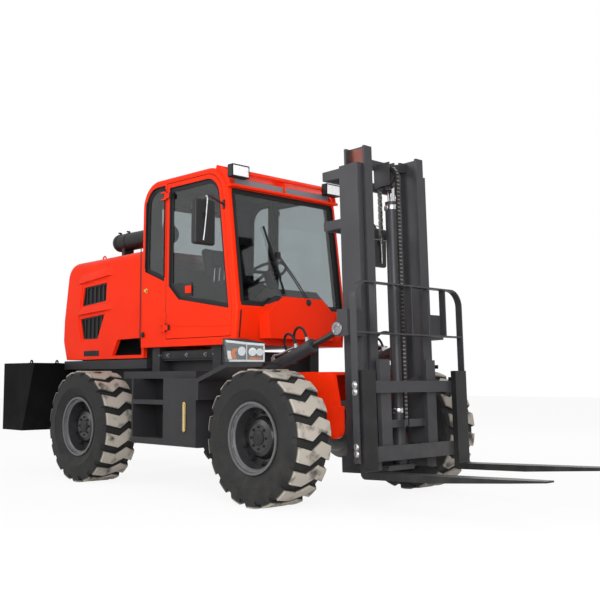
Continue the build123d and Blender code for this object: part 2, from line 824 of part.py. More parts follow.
glass_side = Plane.XZ.offset(cab_half_width - cab_wall / 2)
with BuildPart() as door_glass_right:
    extrude(door_window(-seat_fit, glass_side), amount=-glass_thickness)
door_glass_right.part.label = "door_glass_right"
export_step(door_glass_right.part, "parts/door_glass_right.step")
with BuildPart() as door_glass_left:
    mirror(door_glass_right.part, about=Plane.XZ)
door_glass_left.part.label = "door_glass_left"
export_step(door_glass_left.part, "parts/door_glass_left.step")

with BuildPart() as cab_glass:
    extrude(quarter_window(-seat_fit, glass_side), amount=-glass_thickness)
    mirror(about=Plane.XZ)
    side_plate(
        [
            (screen_x(screen_low) - screen_inset, screen_low + seat_fit),
            (screen_x(screen_high) - screen_inset, screen_high - seat_fit),
            (screen_x(screen_high) - screen_inset - glass_thickness, screen_high - seat_fit),
            (screen_x(screen_low) - screen_inset - glass_thickness, screen_low + seat_fit),
        ],
        seat_fit - screen_half_width,
        screen_half_width - seat_fit,
    )
    slab(behind(cab_back - 28), behind(cab_back - 28) + glass_thickness, seat_fit - rear_window_half_width,
         rear_window_half_width - seat_fit, rear_window_low + seat_fit, rear_window_high - seat_fit)
cab_glass.part.label = "cab_glass"
export_step(cab_glass.part, "parts/cab_glass.step")

# Nose panel under the windscreen with its raised cowl
nose_low = cab_bottom + floor_thickness
nose_proud = 10
cowl_front = 550
cowl_sections = [
    # distance behind the front axle, half width low, low, half width belt, belt, half width top, top
    (656, 430, nose_low + 4, 440, 1600, 256, 1745),
    (cowl_front, 390, nose_low + 4, 420, 1592, 250, 1731),
]
with BuildPart() as nose_panel:
    side_plate(
        [
            (behind(cab_front) + nose_proud, nose_low + seat_fit),
            (behind(660) + nose_proud, belt_z - seat_fit),
            (behind(660) + nose_proud - nose_thickness, belt_z - seat_fit),
            (behind(cab_front) + nose_proud - nose_thickness, nose_low + seat_fit),
        ],
        seat_fit - screen_half_width,
        screen_half_width - seat_fit,
    )
    for back, low_half, low, belt_half, belt, top_half, top in cowl_sections:
        with BuildSketch(Plane.YZ.offset(behind(back))):
            Polygon(
                (-low_half, low),
                (low_half, low),
                (belt_half, belt),
                (top_half, top),
                (-top_half, top),
                (-belt_half, belt),
                align=None,
            )
    loft(ruled=True)
nose_panel.part.label = "nose_panel"
export_step(nose_panel.part, "parts/nose_panel.step")

# Roof guard: cross tubes on side plates and a middle bracket at the roof's front edge
guard_tube = 28
guard_half_width = cab_half_width - 10
guard_tubes = [
    # distance behind the front axle, height
    (771, cab_roof - 198),
    (806, cab_roof - 65),
    (950, cab_roof - 9),
]
guard_plate = 12
guard_plate_y = guard_half_width - 10
guard_plate_line = [
    # tube, distance behind it, height over it
    (0, 4, -12),
    (1, 2, 5),
    (2, -5, 7),
    (2, 25, -10),
    (1, 50, -50),
    (0, 59, -12),
]
with BuildPart() as roof_guard:
    for back, z in guard_tubes:
        cross_bar(guard_tube / 2, behind(back), -guard_half_width, guard_half_width, z)
    for place in (-guard_plate_y, 0, guard_plate_y):
        side_plate(
            [(behind(guard_tubes[tube][0] + back), guard_tubes[tube][1] + over) for tube, back, over in guard_plate_line],
            place - guard_plate / 2,
            place + guard_plate / 2,
        )
    extrude(cab_outline(-seat_fit, Plane.XZ), amount=cab_half_width, both=True, mode=Mode.SUBTRACT)
roof_guard.part.label = "roof_guard"
export_step(roof_guard.part, "parts/roof_guard.step")

# Lamps: work lamps on the roof guard and headlamps on the fenders
work_lamp_y = guard_half_width - 93
work_lamp_width = 205
work_lamp_height = 115
work_lamp_depth = 60
work_lamp_front = guard_tubes[1][0] - guard_tube / 2 - seat_fit - work_lamp_depth
work_lamp_z = cab_roof - 72
lens_thickness = 6
headlamp_plan = [
    # distance behind the front axle, distance from the middle
    (600, 745),
    (545, 945),
    (300, 885),
    (240, 745),
]
headlamp_low = 1127
headlamp_high = 1335
headlamp_front_high = 1262
headlamp_slope_back = 470
headlamp_lens_inset = 14


def headlamp_slope(drop):
    side_plate(
        [
            (behind(headlamp_slope_back), headlamp_high - drop),
            (behind(0), headlamp_front_high - drop),
            (behind(0), headlamp_high + 1),
            (behind(headlamp_slope_back), headlamp_high + 1),
        ],
        0,
        2 * cab_half_width,
        Mode.SUBTRACT,
    )


with BuildPart() as lamp_housings:
    slab(behind(work_lamp_front) - work_lamp_depth, behind(work_lamp_front), work_lamp_y - work_lamp_width / 2,
         work_lamp_y + work_lamp_width / 2, work_lamp_z - work_lamp_height / 2, work_lamp_z + work_lamp_height / 2)
    fillet(lamp_housings.edges().filter_by(Axis.X), 12)
    with BuildSketch(Plane.XY.offset(headlamp_low)):
        Polygon(*[(behind(back), y) for back, y in headlamp_plan], align=None)
    extrude(amount=headlamp_high - headlamp_low)
    headlamp_slope(0)
    mirror(about=Plane.XZ)
lamp_housings.part.label = "lamp_housings"
export_step(lamp_housings.part, "parts/lamp_housings.step")

with BuildPart() as lamp_lenses:
    slab(behind(work_lamp_front), behind(work_lamp_front) + lens_thickness,
         work_lamp_y - work_lamp_width / 2 + 8, work_lamp_y + work_lamp_width / 2 - 8,
         work_lamp_z - work_lamp_height / 2 + 8, work_lamp_z + work_lamp_height / 2 - 8)
    with BuildSketch(Plane.XY.offset(headlamp_low + headlamp_lens_inset)) as lens_band:
        Polygon(*[(behind(back), y) for back, y in headlamp_plan], align=None)
        behind_lens = offset(amount=seat_fit, mode=Mode.PRIVATE)
        offset(amount=seat_fit + lens_thickness, mode=Mode.REPLACE)
        add(behind_lens, mode=Mode.SUBTRACT)
        lens_corner = (behind(headlamp_plan[1][0] - headlamp_lens_inset), headlamp_plan[3][1] + headlamp_lens_inset)
        with Locations(lens_corner):
            Rectangle(1000, 1000, align=(Align.MIN, Align.MIN), mode=Mode.INTERSECT)
    extrude(amount=headlamp_high - headlamp_low - 2 * headlamp_lens_inset)
    headlamp_slope(headlamp_lens_inset)
    mirror(about=Plane.XZ)
lamp_lenses.part.label = "lamp_lenses"
export_step(lamp_lenses.part, "parts/lamp_lenses.step")

# Mirrors on tube arms from the front pillars
mirror_back = 610
mirror_y = cab_half_width + 410
mirror_z = cab_roof - 605
mirror_width = 225
mirror_height = 390
mirror_depth = 60
mirror_tube = 20
mirror_arm_z = cab_roof - 370
mirror_foot_back = 846
mirror_foot_length = 24
mirror_foot_height = 80
mirror_foot_thickness = 12
with BuildPart() as mirrors:
    with Locations((behind(mirror_back), mirror_y, mirror_z)):
        Box(mirror_depth, mirror_width, mirror_height)
    fillet(mirrors.edges(), 22)
    foot_y = cab_half_width + seat_fit
    slab(behind(mirror_foot_back), behind(mirror_foot_back) + mirror_foot_length, foot_y,
         foot_y + mirror_foot_thickness, mirror_arm_z - mirror_foot_height / 2, mirror_arm_z + mirror_foot_height / 2)
    with BuildLine() as arm:
        FilletPolyline(
            (behind(mirror_foot_back) + mirror_foot_length / 2, foot_y + mirror_tube / 2, mirror_arm_z),
            (behind(mirror_back), mirror_y - 60, mirror_arm_z),
            (behind(mirror_back), mirror_y, mirror_arm_z - 70),
            (behind(mirror_back), mirror_y, mirror_z),
            radius=30,
        )
    with BuildSketch(Plane(arm.line @ 0, z_dir=arm.line % 0)):
        Circle(mirror_tube / 2)
    sweep()
    mirror(about=Plane.XZ)
mirrors.part.label = "mirrors"
export_step(mirrors.part, "parts/mirrors.step")

# Seat on its base, and the driver's controls
seat_back = 1720
seat_front = 1230
seat_half_width = 250
seat_z = 1790
seat_base_z = 1690
backrest_high = 2330
with BuildPart() as seat:
    slab(behind(seat_back), behind(seat_front), -seat_half_width, seat_half_width, seat_base_z, seat_z)
    side_plate(
        [
            (behind(seat_back), seat_z),
            (behind(seat_back - 110), seat_z),
            (behind(seat_back + 20), backrest_high),
            (behind(seat_back + 90), backrest_high),
        ],
        -seat_half_width,
        seat_half_width,
    )
seat.part.label = "seat"
export_step(seat.part, "parts/seat.step")

steering_wheel_back = 1050
steering_wheel_z = 2010
steering_wheel_diameter = 380
dash_half_width = cab_half_width - 140
dash_top = 1640
console_width = 150
console_gap = 40
console_top = 1880
pedestal_half_width = 200
column_length = 560
column_lean = 26
column_foot_z = 1500
spoke = 36
floor_top = cab_bottom + cab_wall
with BuildPart() as cab_controls:
    slab(behind(seat_back), behind(seat_front + 60), -pedestal_half_width, pedestal_half_width, floor_top, seat_base_z)
    slab(behind(seat_back), behind(seat_front - 150), -seat_half_width - console_gap - console_width,
         -seat_half_width - console_gap, floor_top, console_top)
    slab(behind(840), behind(752), -dash_half_width, dash_half_width, floor_top, dash_top)
    with Locations(Location((behind(800), 0, column_foot_z), (0, -column_lean, 0))):
        Cylinder(40, column_length, align=(Align.CENTER, Align.CENTER, Align.MIN))
        with Locations((0, 0, column_length)):
            Torus(steering_wheel_diameter / 2, 14)
            Box(steering_wheel_diameter, spoke, 14)
            Box(spoke, steering_wheel_diameter, 14)
cab_controls.part.label = "cab_controls"
export_step(cab_controls.part, "parts/cab_controls.step")

# Air cleaner drum lying on the hood
cleaner_diameter = 190
cleaner_post_places = [2950, 2400]
cleaner_post_half = 25
cleaner_saddle_half = 60
cleaner_back = 3130
cleaner_front = 2160
cleaner_y = -300
cleaner_z = hood_top_front + 192
with BuildPart() as air_cleaner:
    with Locations(Location((behind(cleaner_back), cleaner_y, cleaner_z), (0, 90, 0))):
        Cylinder(cleaner_diameter / 2, cleaner_back - cleaner_front, align=(Align.CENTER, Align.CENTER, Align.MIN))
    fillet(air_cleaner.edges().group_by(Axis.X)[0], 40)
    for place in cleaner_post_places:
        slab(behind(place) - cleaner_post_half, behind(place) + cleaner_post_half, cleaner_y - cleaner_saddle_half,
             cleaner_y + cleaner_saddle_half, hood_top_back - hood_wall, cleaner_z)
    extrude(hood_outline(-seat_fit), amount=hood_half_width, both=True, mode=Mode.SUBTRACT)
air_cleaner.part.label = "air_cleaner"
export_step(air_cleaner.part, "parts/air_cleaner.step")

# Mast pieces are drawn upright in the mast's own frame, with the foot pin at its origin
mast_place = Location((mast_pin_x, 0, mast_pin_z), (0, -rest_lean, 0))
channel_depth = 200
channel_web = 22
channel_flange = 78
mast_half_width = 440
mast_bottom = -345
outer_top = 2132
foot_lug_width = 50
foot_lug_boss = 62
tie_beams = [
    # height, depth behind the channels
    (2040, 190),
    (1620, 190),
    (150, 60),
]
tie_height = 75
tie_thickness = 30
inner_web = 20
inner_flange_thickness = 22
inner_gap = 6
pad_width = 40
pad_height = 140
inner_half_width = 405
inner_flange_inner = 288
inner_front_outer = 378
inner_web_y = 335
inner_top = 2275
inner_bottom = -330
inner_rear = mast_rear + channel_web + inner_gap
inner_front = mast_rear + channel_depth + inner_gap + inner_flange_thickness
cylinder_y = 70
cylinder_x = 215
cylinder_diameter = 110
cylinder_top = 1880
lift_rod_diameter = 64
lift_stroke = 1500
pulley_x = 275
pulley_z = 2052
pulley_y = -35
pulley_diameter = 170
pulley_width = 44
pulley_pin = 40
cheek_thickness = 12
cheek_reach = pulley_width / 2 + 16
chain_width = 36
chain_thickness = 22
chain_pitch = 44.45
clevis_plate = 18
clevis_gap = 6
clevis_boss = 60
clevis_rise = 150
clevis_web = 45

tilt_eye_width = 64
clevis_inner = tilt_y - tilt_eye_width / 2 - clevis_gap
clevis_outer = tilt_y + tilt_eye_width / 2 + clevis_gap
clevis_end = mast_rear + channel_depth
with BuildPart() as mast_outer_upright:
    with BuildSketch(Plane.XY.offset(mast_bottom)):
        Polygon(
            (mast_rear, mast_half_width - channel_flange),
            (mast_rear, mast_half_width),
            (mast_rear + channel_depth, mast_half_width),
            (mast_rear + channel_depth, mast_half_width - channel_flange),
            (mast_rear + channel_depth - channel_web, mast_half_width - channel_flange),
            (mast_rear + channel_depth - channel_web, mast_half_width - channel_web),
            (mast_rear + channel_web, mast_half_width - channel_web),
            (mast_rear + channel_web, mast_half_width - channel_flange),
            align=None,
        )
    extrude(amount=outer_top - mast_bottom)
    for tie_z, depth in tie_beams:
        slab(mast_rear - depth, mast_rear, mast_half_width - tie_thickness, mast_half_width, tie_z, tie_z + tie_height)
        slab(mast_rear - depth, mast_rear - depth + tie_thickness, 0, mast_half_width, tie_z, tie_z + tie_height)
    slab(mast_rear + channel_web - 2, inner_rear - seat_fit, inner_half_width - pad_width, inner_half_width,
         outer_top - pad_height, outer_top)
    slab(mast_rear - 60, mast_rear, 0, mast_half_width, mast_bottom, mast_bottom + 130)
    slab(mast_rear - 60, cylinder_x + 70, 0, 160, mast_bottom, mast_bottom + 40)
    with BuildSketch(Plane.XZ.offset(-(mast_half_width - 10))):
        Circle(foot_lug_boss)
        Rectangle(mast_rear, 2 * foot_lug_boss, align=(Align.MIN, Align.CENTER))
        Circle(pin_diameter / 2 + running_fit, mode=Mode.SUBTRACT)
    extrude(amount=foot_lug_width)
    for plate_y in (clevis_inner - clevis_plate, clevis_outer):
        with BuildSketch(Plane.XZ.offset(-plate_y)):
            with Locations((tilt_eye_x, tilt_eye_z)):
                Circle(clevis_boss)
            with Locations((tilt_eye_x, tilt_eye_z - clevis_boss)):
                Rectangle(clevis_end - tilt_eye_x, clevis_boss + clevis_rise, align=(Align.MIN, Align.MIN))
        extrude(amount=-clevis_plate)
    slab(clevis_end - clevis_web, clevis_end, mast_half_width, clevis_outer + clevis_plate,
         tilt_eye_z - clevis_boss, tilt_eye_z + clevis_rise)
    cross_bar(tilt_pin_diameter / 2, tilt_eye_x, clevis_inner - clevis_plate, clevis_outer + clevis_plate, tilt_eye_z)
    mirror(about=Plane.XZ)
with BuildPart() as mast_outer:
    with Locations(mast_place):
        add(mast_outer_upright.part)
mast_outer.part.label = "mast_outer"
export_step(mast_outer.part, "parts/mast_outer.step")

# Lift cylinder barrel standing on the mast's foot
barrel_foot = mast_bottom + 40
with BuildPart() as lift_cylinder_upright:
    with Locations((cylinder_x, cylinder_y, barrel_foot)):
        Cylinder(cylinder_diameter / 2, cylinder_top - barrel_foot, align=(Align.CENTER, Align.CENTER, Align.MIN))
    with Locations((cylinder_x, cylinder_y, barrel_foot + 60)):
        Cylinder(lift_rod_diameter / 2 + running_fit, cylinder_top - barrel_foot,
                 align=(Align.CENTER, Align.CENTER, Align.MIN), mode=Mode.SUBTRACT)
with BuildPart() as lift_cylinder:
    with Locations(mast_place):
        add(lift_cylinder_upright.part)
lift_cylinder.part.label = "lift_cylinder"
export_step(lift_cylinder.part, "parts/lift_cylinder.step")

# Inner mast: two beams, a head beam with the pulley cheeks and a foot beam
head_height = 70
head_depth = 60
head_drop = 52
head_flat = 140
head_end_drop = 15
head_low = inner_top - head_drop - head_height
with BuildPart() as mast_inner_upright:
    with BuildSketch(Plane.XY.offset(inner_bottom)):
        Polygon(
            (inner_rear, inner_flange_inner),
            (inner_rear, inner_half_width),
            (inner_rear + inner_flange_thickness, inner_half_width),
            (inner_rear + inner_flange_thickness, inner_web_y + inner_web),
            (inner_front - inner_flange_thickness, inner_web_y + inner_web),
            (inner_front - inner_flange_thickness, inner_front_outer),
            (inner_front, inner_front_outer),
            (inner_front, inner_flange_inner),
            (inner_front - inner_flange_thickness, inner_flange_inner),
            (inner_front - inner_flange_thickness, inner_web_y),
            (inner_rear + inner_flange_thickness, inner_web_y),
            (inner_rear + inner_flange_thickness, inner_flange_inner),
            align=None,
        )
    extrude(amount=inner_top - inner_bottom)
    mirror(about=Plane.XZ)
    head_end = inner_web_y + inner_web / 2
    head_tops = [
        # distance across, height
        (-head_end, inner_top - head_end_drop),
        (-head_flat, inner_top - head_drop),
        (head_flat, inner_top - head_drop),
        (head_end, inner_top - head_end_drop),
    ]
    with BuildSketch(Plane.YZ.offset(inner_rear)):
        Polygon(*head_tops, *[(y, z - head_height) for y, z in reversed(head_tops)], align=None)
    extrude(amount=head_depth)
    for cheek in (-1, 1):
        cheek_y = pulley_y + cheek * (cheek_reach - cheek_thickness / 2)
        slab(inner_rear + head_depth / 2, pulley_x + 45, cheek_y - cheek_thickness / 2, cheek_y + cheek_thickness / 2,
             pulley_z - 60, head_low + head_height / 2)
    cross_bar(pulley_pin / 2, pulley_x, pulley_y - cheek_reach, pulley_y + cheek_reach, pulley_z)
with BuildPart() as mast_inner:
    with Locations(mast_place):
        add(mast_inner_upright.part)
mast_inner.part.label = "mast_inner"
export_step(mast_inner.part, "parts/mast_inner.step")

rod_head = 40
with BuildPart() as lift_rod_upright:
    slab(inner_rear, cylinder_x + lift_rod_diameter / 2, cylinder_y - lift_rod_diameter / 2,
         cylinder_y + lift_rod_diameter / 2, head_low - rod_head, head_low - seat_fit)
    with Locations((cylinder_x, cylinder_y, head_low - seat_fit)):
        Cylinder(lift_rod_diameter / 2, head_low - seat_fit - (cylinder_top - lift_stroke - 300),
                 align=(Align.CENTER, Align.CENTER, Align.MAX))
with BuildPart() as lift_rod:
    with Locations(mast_place):
        add(lift_rod_upright.part)
lift_rod.part.label = "lift_rod"
export_step(lift_rod.part, "parts/lift_rod.step")

# Lift chain: two notched strands joined by the turn over their pulley
chain_front_low = 20
chain_back_low = 1572
chain_notch = 7
chain_inner_radius = pulley_diameter / 2 + seat_fit
chain_outer_radius = chain_inner_radius + chain_thickness


def strand_outline(low, high):
    points = []
    count = int((high - low) / chain_pitch)
    for index in range(count):
        start = high - index * chain_pitch
        points += [(chain_width / 2, start), (chain_width / 2, start - 0.62 * chain_pitch)]
        points += [(chain_width / 2 - chain_notch, start - 0.62 * chain_pitch)]
        points += [(chain_width / 2 - chain_notch, start - chain_pitch)]
    return points + [(-y, z) for y, z in reversed(points)]


with BuildPart() as lift_chain_upright:
    with Locations(Location((pulley_x, pulley_y, pulley_z), (90, 0, 0))):
        Cylinder(pulley_diameter / 2, pulley_width)
        Cylinder(pulley_pin / 2 + running_fit, pulley_width, mode=Mode.SUBTRACT)
    for strand_x, low in (
        (pulley_x + chain_inner_radius, chain_front_low),
        (pulley_x - chain_outer_radius, chain_back_low),
    ):
        with BuildSketch(Plane.YZ.offset(strand_x)):
            Polygon(*[(pulley_y + y, z) for y, z in strand_outline(low, pulley_z)], align=None)
        extrude(amount=chain_thickness)
    with BuildSketch(Plane.XZ.offset(-pulley_y)):
        with Locations((pulley_x, pulley_z)):
            Circle(chain_outer_radius)
            Circle(chain_inner_radius, mode=Mode.SUBTRACT)
            Rectangle(4 * chain_outer_radius, 2 * chain_outer_radius, align=(Align.CENTER, Align.MIN),
                      mode=Mode.INTERSECT)
    extrude(amount=chain_width / 2, both=True)
with BuildPart() as lift_chain:
    with Locations(mast_place):
        add(lift_chain_upright.part)
lift_chain.part.label = "lift_chain"
export_step(lift_chain.part, "parts/lift_chain.step")

# Fork carriage: two bars on uprights, with roller plates running in the inner mast
bar_thickness = 40
backrest_half_width = 683
backrest_bar = 12
bar_half_length = backrest_half_width - backrest_bar - seat_fit
upper_bar = (276, 367)
lower_bar = (-250, -136)
upright_inner = 230
upright_outer = 350
upright_top = 540
roller_plate = 20
roller_gap = 6
roller_heights = [-80, 330]
anchor_beam = (0, 60)
bar_back = bar_front - bar_thickness
roller_x = (inner_rear + inner_front) / 2
roller_diameter = inner_front - inner_rear - 2 * inner_flange_thickness - 2 * seat_fit
roller_plate_outer = inner_flange_inner - roller_gap
with BuildPart() as carriage_upright:
    for low, high in (upper_bar, lower_bar):
        slab(bar_back, bar_front, 0, bar_half_length, low, high)
    slab(bar_back - bar_thickness, bar_back, upright_inner, upright_outer, lower_bar[0], upright_top)
    slab(roller_x - 60, bar_back, roller_plate_outer - roller_plate, roller_plate_outer,
         roller_heights[0] - 60, roller_heights[1] + 60)
    for roller_z in roller_heights:
        cross_bar(roller_diameter / 2, roller_x, roller_plate_outer, inner_web_y - roller_gap, roller_z)
    slab(bar_back - 80, bar_back - bar_thickness + 2, 0, roller_plate_outer, *anchor_beam)
    mirror(about=Plane.XZ)
    for side in (-1, 1):
        cheek_y = pulley_y + side * (chain_width / 2 + roller_gap + 6)
        slab(bar_back - bar_thickness, bar_back, cheek_y - 6, cheek_y + 6, *anchor_beam)
with BuildPart() as carriage:
    with Locations(mast_place):
        add(carriage_upright.part)
carriage.part.label = "carriage"
export_step(carriage.part, "parts/carriage.step")

# Load backrest: a bent flat bar frame with a low rail and inner bars
backrest_top = 1142
backrest_rail_z = 739
backrest_depth = 60
backrest_corner = 143
backrest_bar_count = 5
with BuildPart() as backrest_upright:
    with BuildSketch(Plane.YZ.offset(bar_back)) as backrest_frame:
        with Locations((0, lower_bar[0])):
            Rectangle(2 * backrest_half_width, backrest_top - lower_bar[0], align=(Align.CENTER, Align.MIN))
        fillet(backrest_frame.vertices().group_by(Axis.Y)[-1], backrest_corner)
        inner_face = offset(amount=-backrest_bar, mode=Mode.PRIVATE)
        add(inner_face, mode=Mode.SUBTRACT)
        with Locations((0, lower_bar[0])):
            Rectangle(2 * (backrest_half_width - backrest_bar), 2 * backrest_bar, mode=Mode.SUBTRACT)
        with Locations((0, backrest_rail_z)):
            Rectangle(2 * backrest_half_width - backrest_bar, backrest_bar)
        spacing = 2 * (backrest_half_width - backrest_bar) / (backrest_bar_count + 1)
        with Locations((0, (backrest_rail_z + backrest_top) / 2)):
            with GridLocations(spacing, 1, backrest_bar_count, 1):
                Rectangle(backrest_bar, backrest_top - backrest_rail_z - backrest_bar)
    extrude(amount=backrest_depth)
with BuildPart() as backrest:
    with Locations(mast_place):
        add(backrest_upright.part)
backrest.part.label = "backrest"
export_step(backrest.part, "parts/backrest.step")

# Forks hooked over the carriage bars
fork_top = 450
fork_taper_start = 1100
fork_tip_width = 90
fork_tip_taper = 260
hook_height = 32
hook_thickness = 25
shank_back = bar_front + seat_fit
shank_front = bar_front + fork_shank_thickness
blade_bottom = fork_blade_top - fork_thickness
with BuildPart() as forks_upright:
    with BuildSketch(Plane.XZ.offset(-(fork_spacing - fork_width) / 2)) as fork_side:
        Polygon(
            (shank_back, fork_top),
            (shank_front, fork_top),
            (shank_front, fork_blade_top),
            (fork_tip_ahead, fork_blade_top),
            (fork_tip_ahead, fork_tip_low),
            (fork_taper_start, blade_bottom),
            (shank_back, blade_bottom),
            align=None,
        )
        round_corners(fork_side, [(shank_back, blade_bottom, 45), (shank_front, fork_blade_top, 15)])
    extrude(amount=-fork_width)
    tip_edges = forks_upright.edges().filter_by(Axis.Z).group_by(Axis.X)[-1]
    chamfer(tip_edges, length=(fork_width - fork_tip_width) / 2, length2=fork_tip_taper)
    fork_inner = (fork_spacing - fork_width) / 2
    slab(bar_back + 12, shank_back + 2, fork_inner, fork_inner + fork_width, upper_bar[1] + seat_fit,
         upper_bar[1] + hook_height)
    slab(bar_back + 12, shank_back + 2, fork_inner, fork_inner + fork_width, lower_bar[0] - hook_height,
         lower_bar[0] - seat_fit)
    mirror(about=Plane.XZ)
with BuildPart() as forks:
    with Locations(mast_place):
        add(forks_upright.part)
forks.part.label = "forks"
export_step(forks.part, "parts/forks.step")

# Tilt cylinders between the front frame's pins and the mast's clevises
eye_x = mast_pin_x + tilt_eye_x * lean_cos - tilt_eye_z * lean_sin
eye_z = mast_pin_z + tilt_eye_x * lean_sin + tilt_eye_z * lean_cos
tilt_length = ((eye_x - tilt_anchor_x) ** 2 + (eye_z - tilt_anchor_z) ** 2) ** 0.5
tilt_angle = Vector(eye_x - tilt_anchor_x, 0, eye_z - tilt_anchor_z).get_angle(Vector(1, 0, 0))
tilt_barrel_start = 50
tilt_barrel_end = 665
tilt_rod_start = 300
tilt_bore_start = 150
tilt_anchor_eye = 48
tilt_rod_eye = 46
tilt_rod_sink = 10
base_align = (Align.CENTER, Align.CENTER, Align.MIN)
for side_name, side in (("right", -1), ("left", 1)):
    tilt_place = Location((tilt_anchor_x, side * tilt_y, tilt_anchor_z), (0, 90 - tilt_angle, 0))
    with BuildPart() as tilt_barrel:
        with Locations(tilt_place):
            with Locations(Location((0, 0, 0), (90, 0, 0))):
                Cylinder(tilt_anchor_eye, tilt_eye_width)
            with Locations((0, 0, tilt_barrel_start - 15)):
                Cylinder(tilt_barrel_diameter / 2, tilt_barrel_end - tilt_barrel_start + 15, align=base_align)
            with Locations((0, 0, tilt_bore_start)):
                Cylinder(tilt_rod_diameter / 2 + running_fit, tilt_barrel_end, align=base_align, mode=Mode.SUBTRACT)
            with Locations(Location((0, 0, 0), (90, 0, 0))):
                Cylinder(tilt_pin_diameter / 2 + running_fit, 3 * tilt_eye_width, mode=Mode.SUBTRACT)
    tilt_barrel.part.label = f"tilt_barrel_{side_name}"
    export_step(tilt_barrel.part, f"parts/tilt_barrel_{side_name}.step")
    with BuildPart() as tilt_rod:
        with Locations(tilt_place):
            with Locations((0, 0, tilt_rod_start)):
                Cylinder(tilt_rod_diameter / 2, tilt_length - tilt_rod_start - tilt_rod_eye + tilt_rod_sink,
                         align=base_align)
            with Locations(Location((0, 0, tilt_length), (90, 0, 0))):
                Cylinder(tilt_rod_eye, tilt_eye_width)
                Cylinder(tilt_pin_diameter / 2 + tilt_eye_play, tilt_eye_width, mode=Mode.SUBTRACT)
    tilt_rod.part.label = f"tilt_rod_{side_name}"
    export_step(tilt_rod.part, f"parts/tilt_rod_{side_name}.step")
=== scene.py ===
import json
from math import cos, exp, pi, radians, sin

import bmesh
import bpy
from mathutils import Matrix, Vector


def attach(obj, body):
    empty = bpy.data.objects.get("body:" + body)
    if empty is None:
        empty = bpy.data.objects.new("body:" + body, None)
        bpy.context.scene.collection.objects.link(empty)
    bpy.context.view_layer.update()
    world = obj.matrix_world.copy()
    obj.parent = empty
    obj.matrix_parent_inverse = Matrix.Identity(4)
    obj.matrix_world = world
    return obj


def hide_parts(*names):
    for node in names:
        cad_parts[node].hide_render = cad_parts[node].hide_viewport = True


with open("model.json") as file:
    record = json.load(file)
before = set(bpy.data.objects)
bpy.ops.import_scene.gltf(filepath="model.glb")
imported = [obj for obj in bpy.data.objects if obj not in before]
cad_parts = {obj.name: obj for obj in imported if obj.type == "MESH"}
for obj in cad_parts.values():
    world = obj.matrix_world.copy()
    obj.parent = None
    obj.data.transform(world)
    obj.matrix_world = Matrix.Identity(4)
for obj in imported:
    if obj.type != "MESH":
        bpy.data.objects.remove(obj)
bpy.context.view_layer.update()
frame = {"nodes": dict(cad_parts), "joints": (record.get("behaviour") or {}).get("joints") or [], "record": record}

nodes = frame["nodes"]
joints = {joint["name"]: joint for joint in frame["joints"]}
scene = bpy.context.scene
print("frame loaded:", len(nodes), "nodes")

# places and directions that the pieces are set out from
frontAxle = Vector(joints["wheel_front_right_spin"]["pos_m"])
rearAxle = Vector(joints["wheel_rear_right_spin"]["pos_m"])
mastPin = Vector(joints["mast_tilt"]["pos_m"])
mastUp = Vector(joints["mast_lift"]["axis"])
forward, across, upward = Vector((1, 0, 0)), Vector((0, 1, 0)), Vector((0, 0, 1))
mastAhead = across.cross(mastUp)
axles = {"front": frontAxle, "rear": rearAxle}
sides = {"right": -1, "left": 1}


def behindAxle(distance, y, z):
    return Vector((frontAxle.x - distance, y, z))


def onSide(side, out, place):
    return behindAxle(place[0], side * out, place[1])


def onMast(ahead, y, up):
    return mastPin + mastAhead * ahead + across * y + mastUp * up


# node helpers for shaders and Geometry Nodes: values are numbers or the sockets that feed them
def addNode(tree, kind, values=None, **settings):
    node = tree.nodes.new(kind)
    for key, value in settings.items():
        setattr(node, key, value)
    for label, value in (values or {}).items():
        if isinstance(value, bpy.types.NodeSocket):
            tree.links.new(value, node.inputs[label])
        else:
            node.inputs[label].default_value = value
    return node


def mathNode(tree, operation, first, second):
    return addNode(tree, "ShaderNodeMath", {0: first, 1: second}, operation=operation).outputs[0]


def rangeNode(tree, value, low, high):
    values = {"Value": value, "From Min": low, "From Max": high}
    return addNode(tree, "ShaderNodeMapRange", values, interpolation_type="SMOOTHSTEP").outputs[0]


def anyRay(tree, *kinds):
    path = addNode(tree, "ShaderNodeLightPath")
    seen = path.outputs[f"Is {kinds[0]} Ray"]
    for kind in kinds[1:]:
        seen = mathNode(tree, "MAXIMUM", seen, path.outputs[f"Is {kind} Ray"])
    return seen


def mixShaders(tree, share, first, second, output):
    mix = addNode(tree, "ShaderNodeMixShader", {0: share, 1: first.outputs[0], 2: second.outputs[0]})
    tree.links.new(mix.outputs[0], output.inputs[0])


def newMaterial(name):
    material = bpy.data.materials.new(name)
    material.use_nodes = True
    return material, material.node_tree, material.node_tree.nodes["Principled BSDF"]


# camera, floor and light
view = {
    "place": (5.4106, -5.8375, 0.9976),  # from the front axle, on the ground
    "heading": 135.78, "pitch": 4.91, "lens": 55.1, "sensor": 36,
}
camera = bpy.data.objects.new("camera", bpy.data.cameras.new("camera"))
camera.data.lens = view["lens"]
camera.data.sensor_width = view["sensor"]
camera.data.sensor_fit = "HORIZONTAL"
camera.location = Vector(view["place"]) + forward * frontAxle.x
camera.rotation_euler = (radians(90 + view["pitch"]), 0, radians(view["heading"] - 90))
scene.collection.objects.link(camera)
scene.camera = camera
scene.view_settings.view_transform = "Standard"

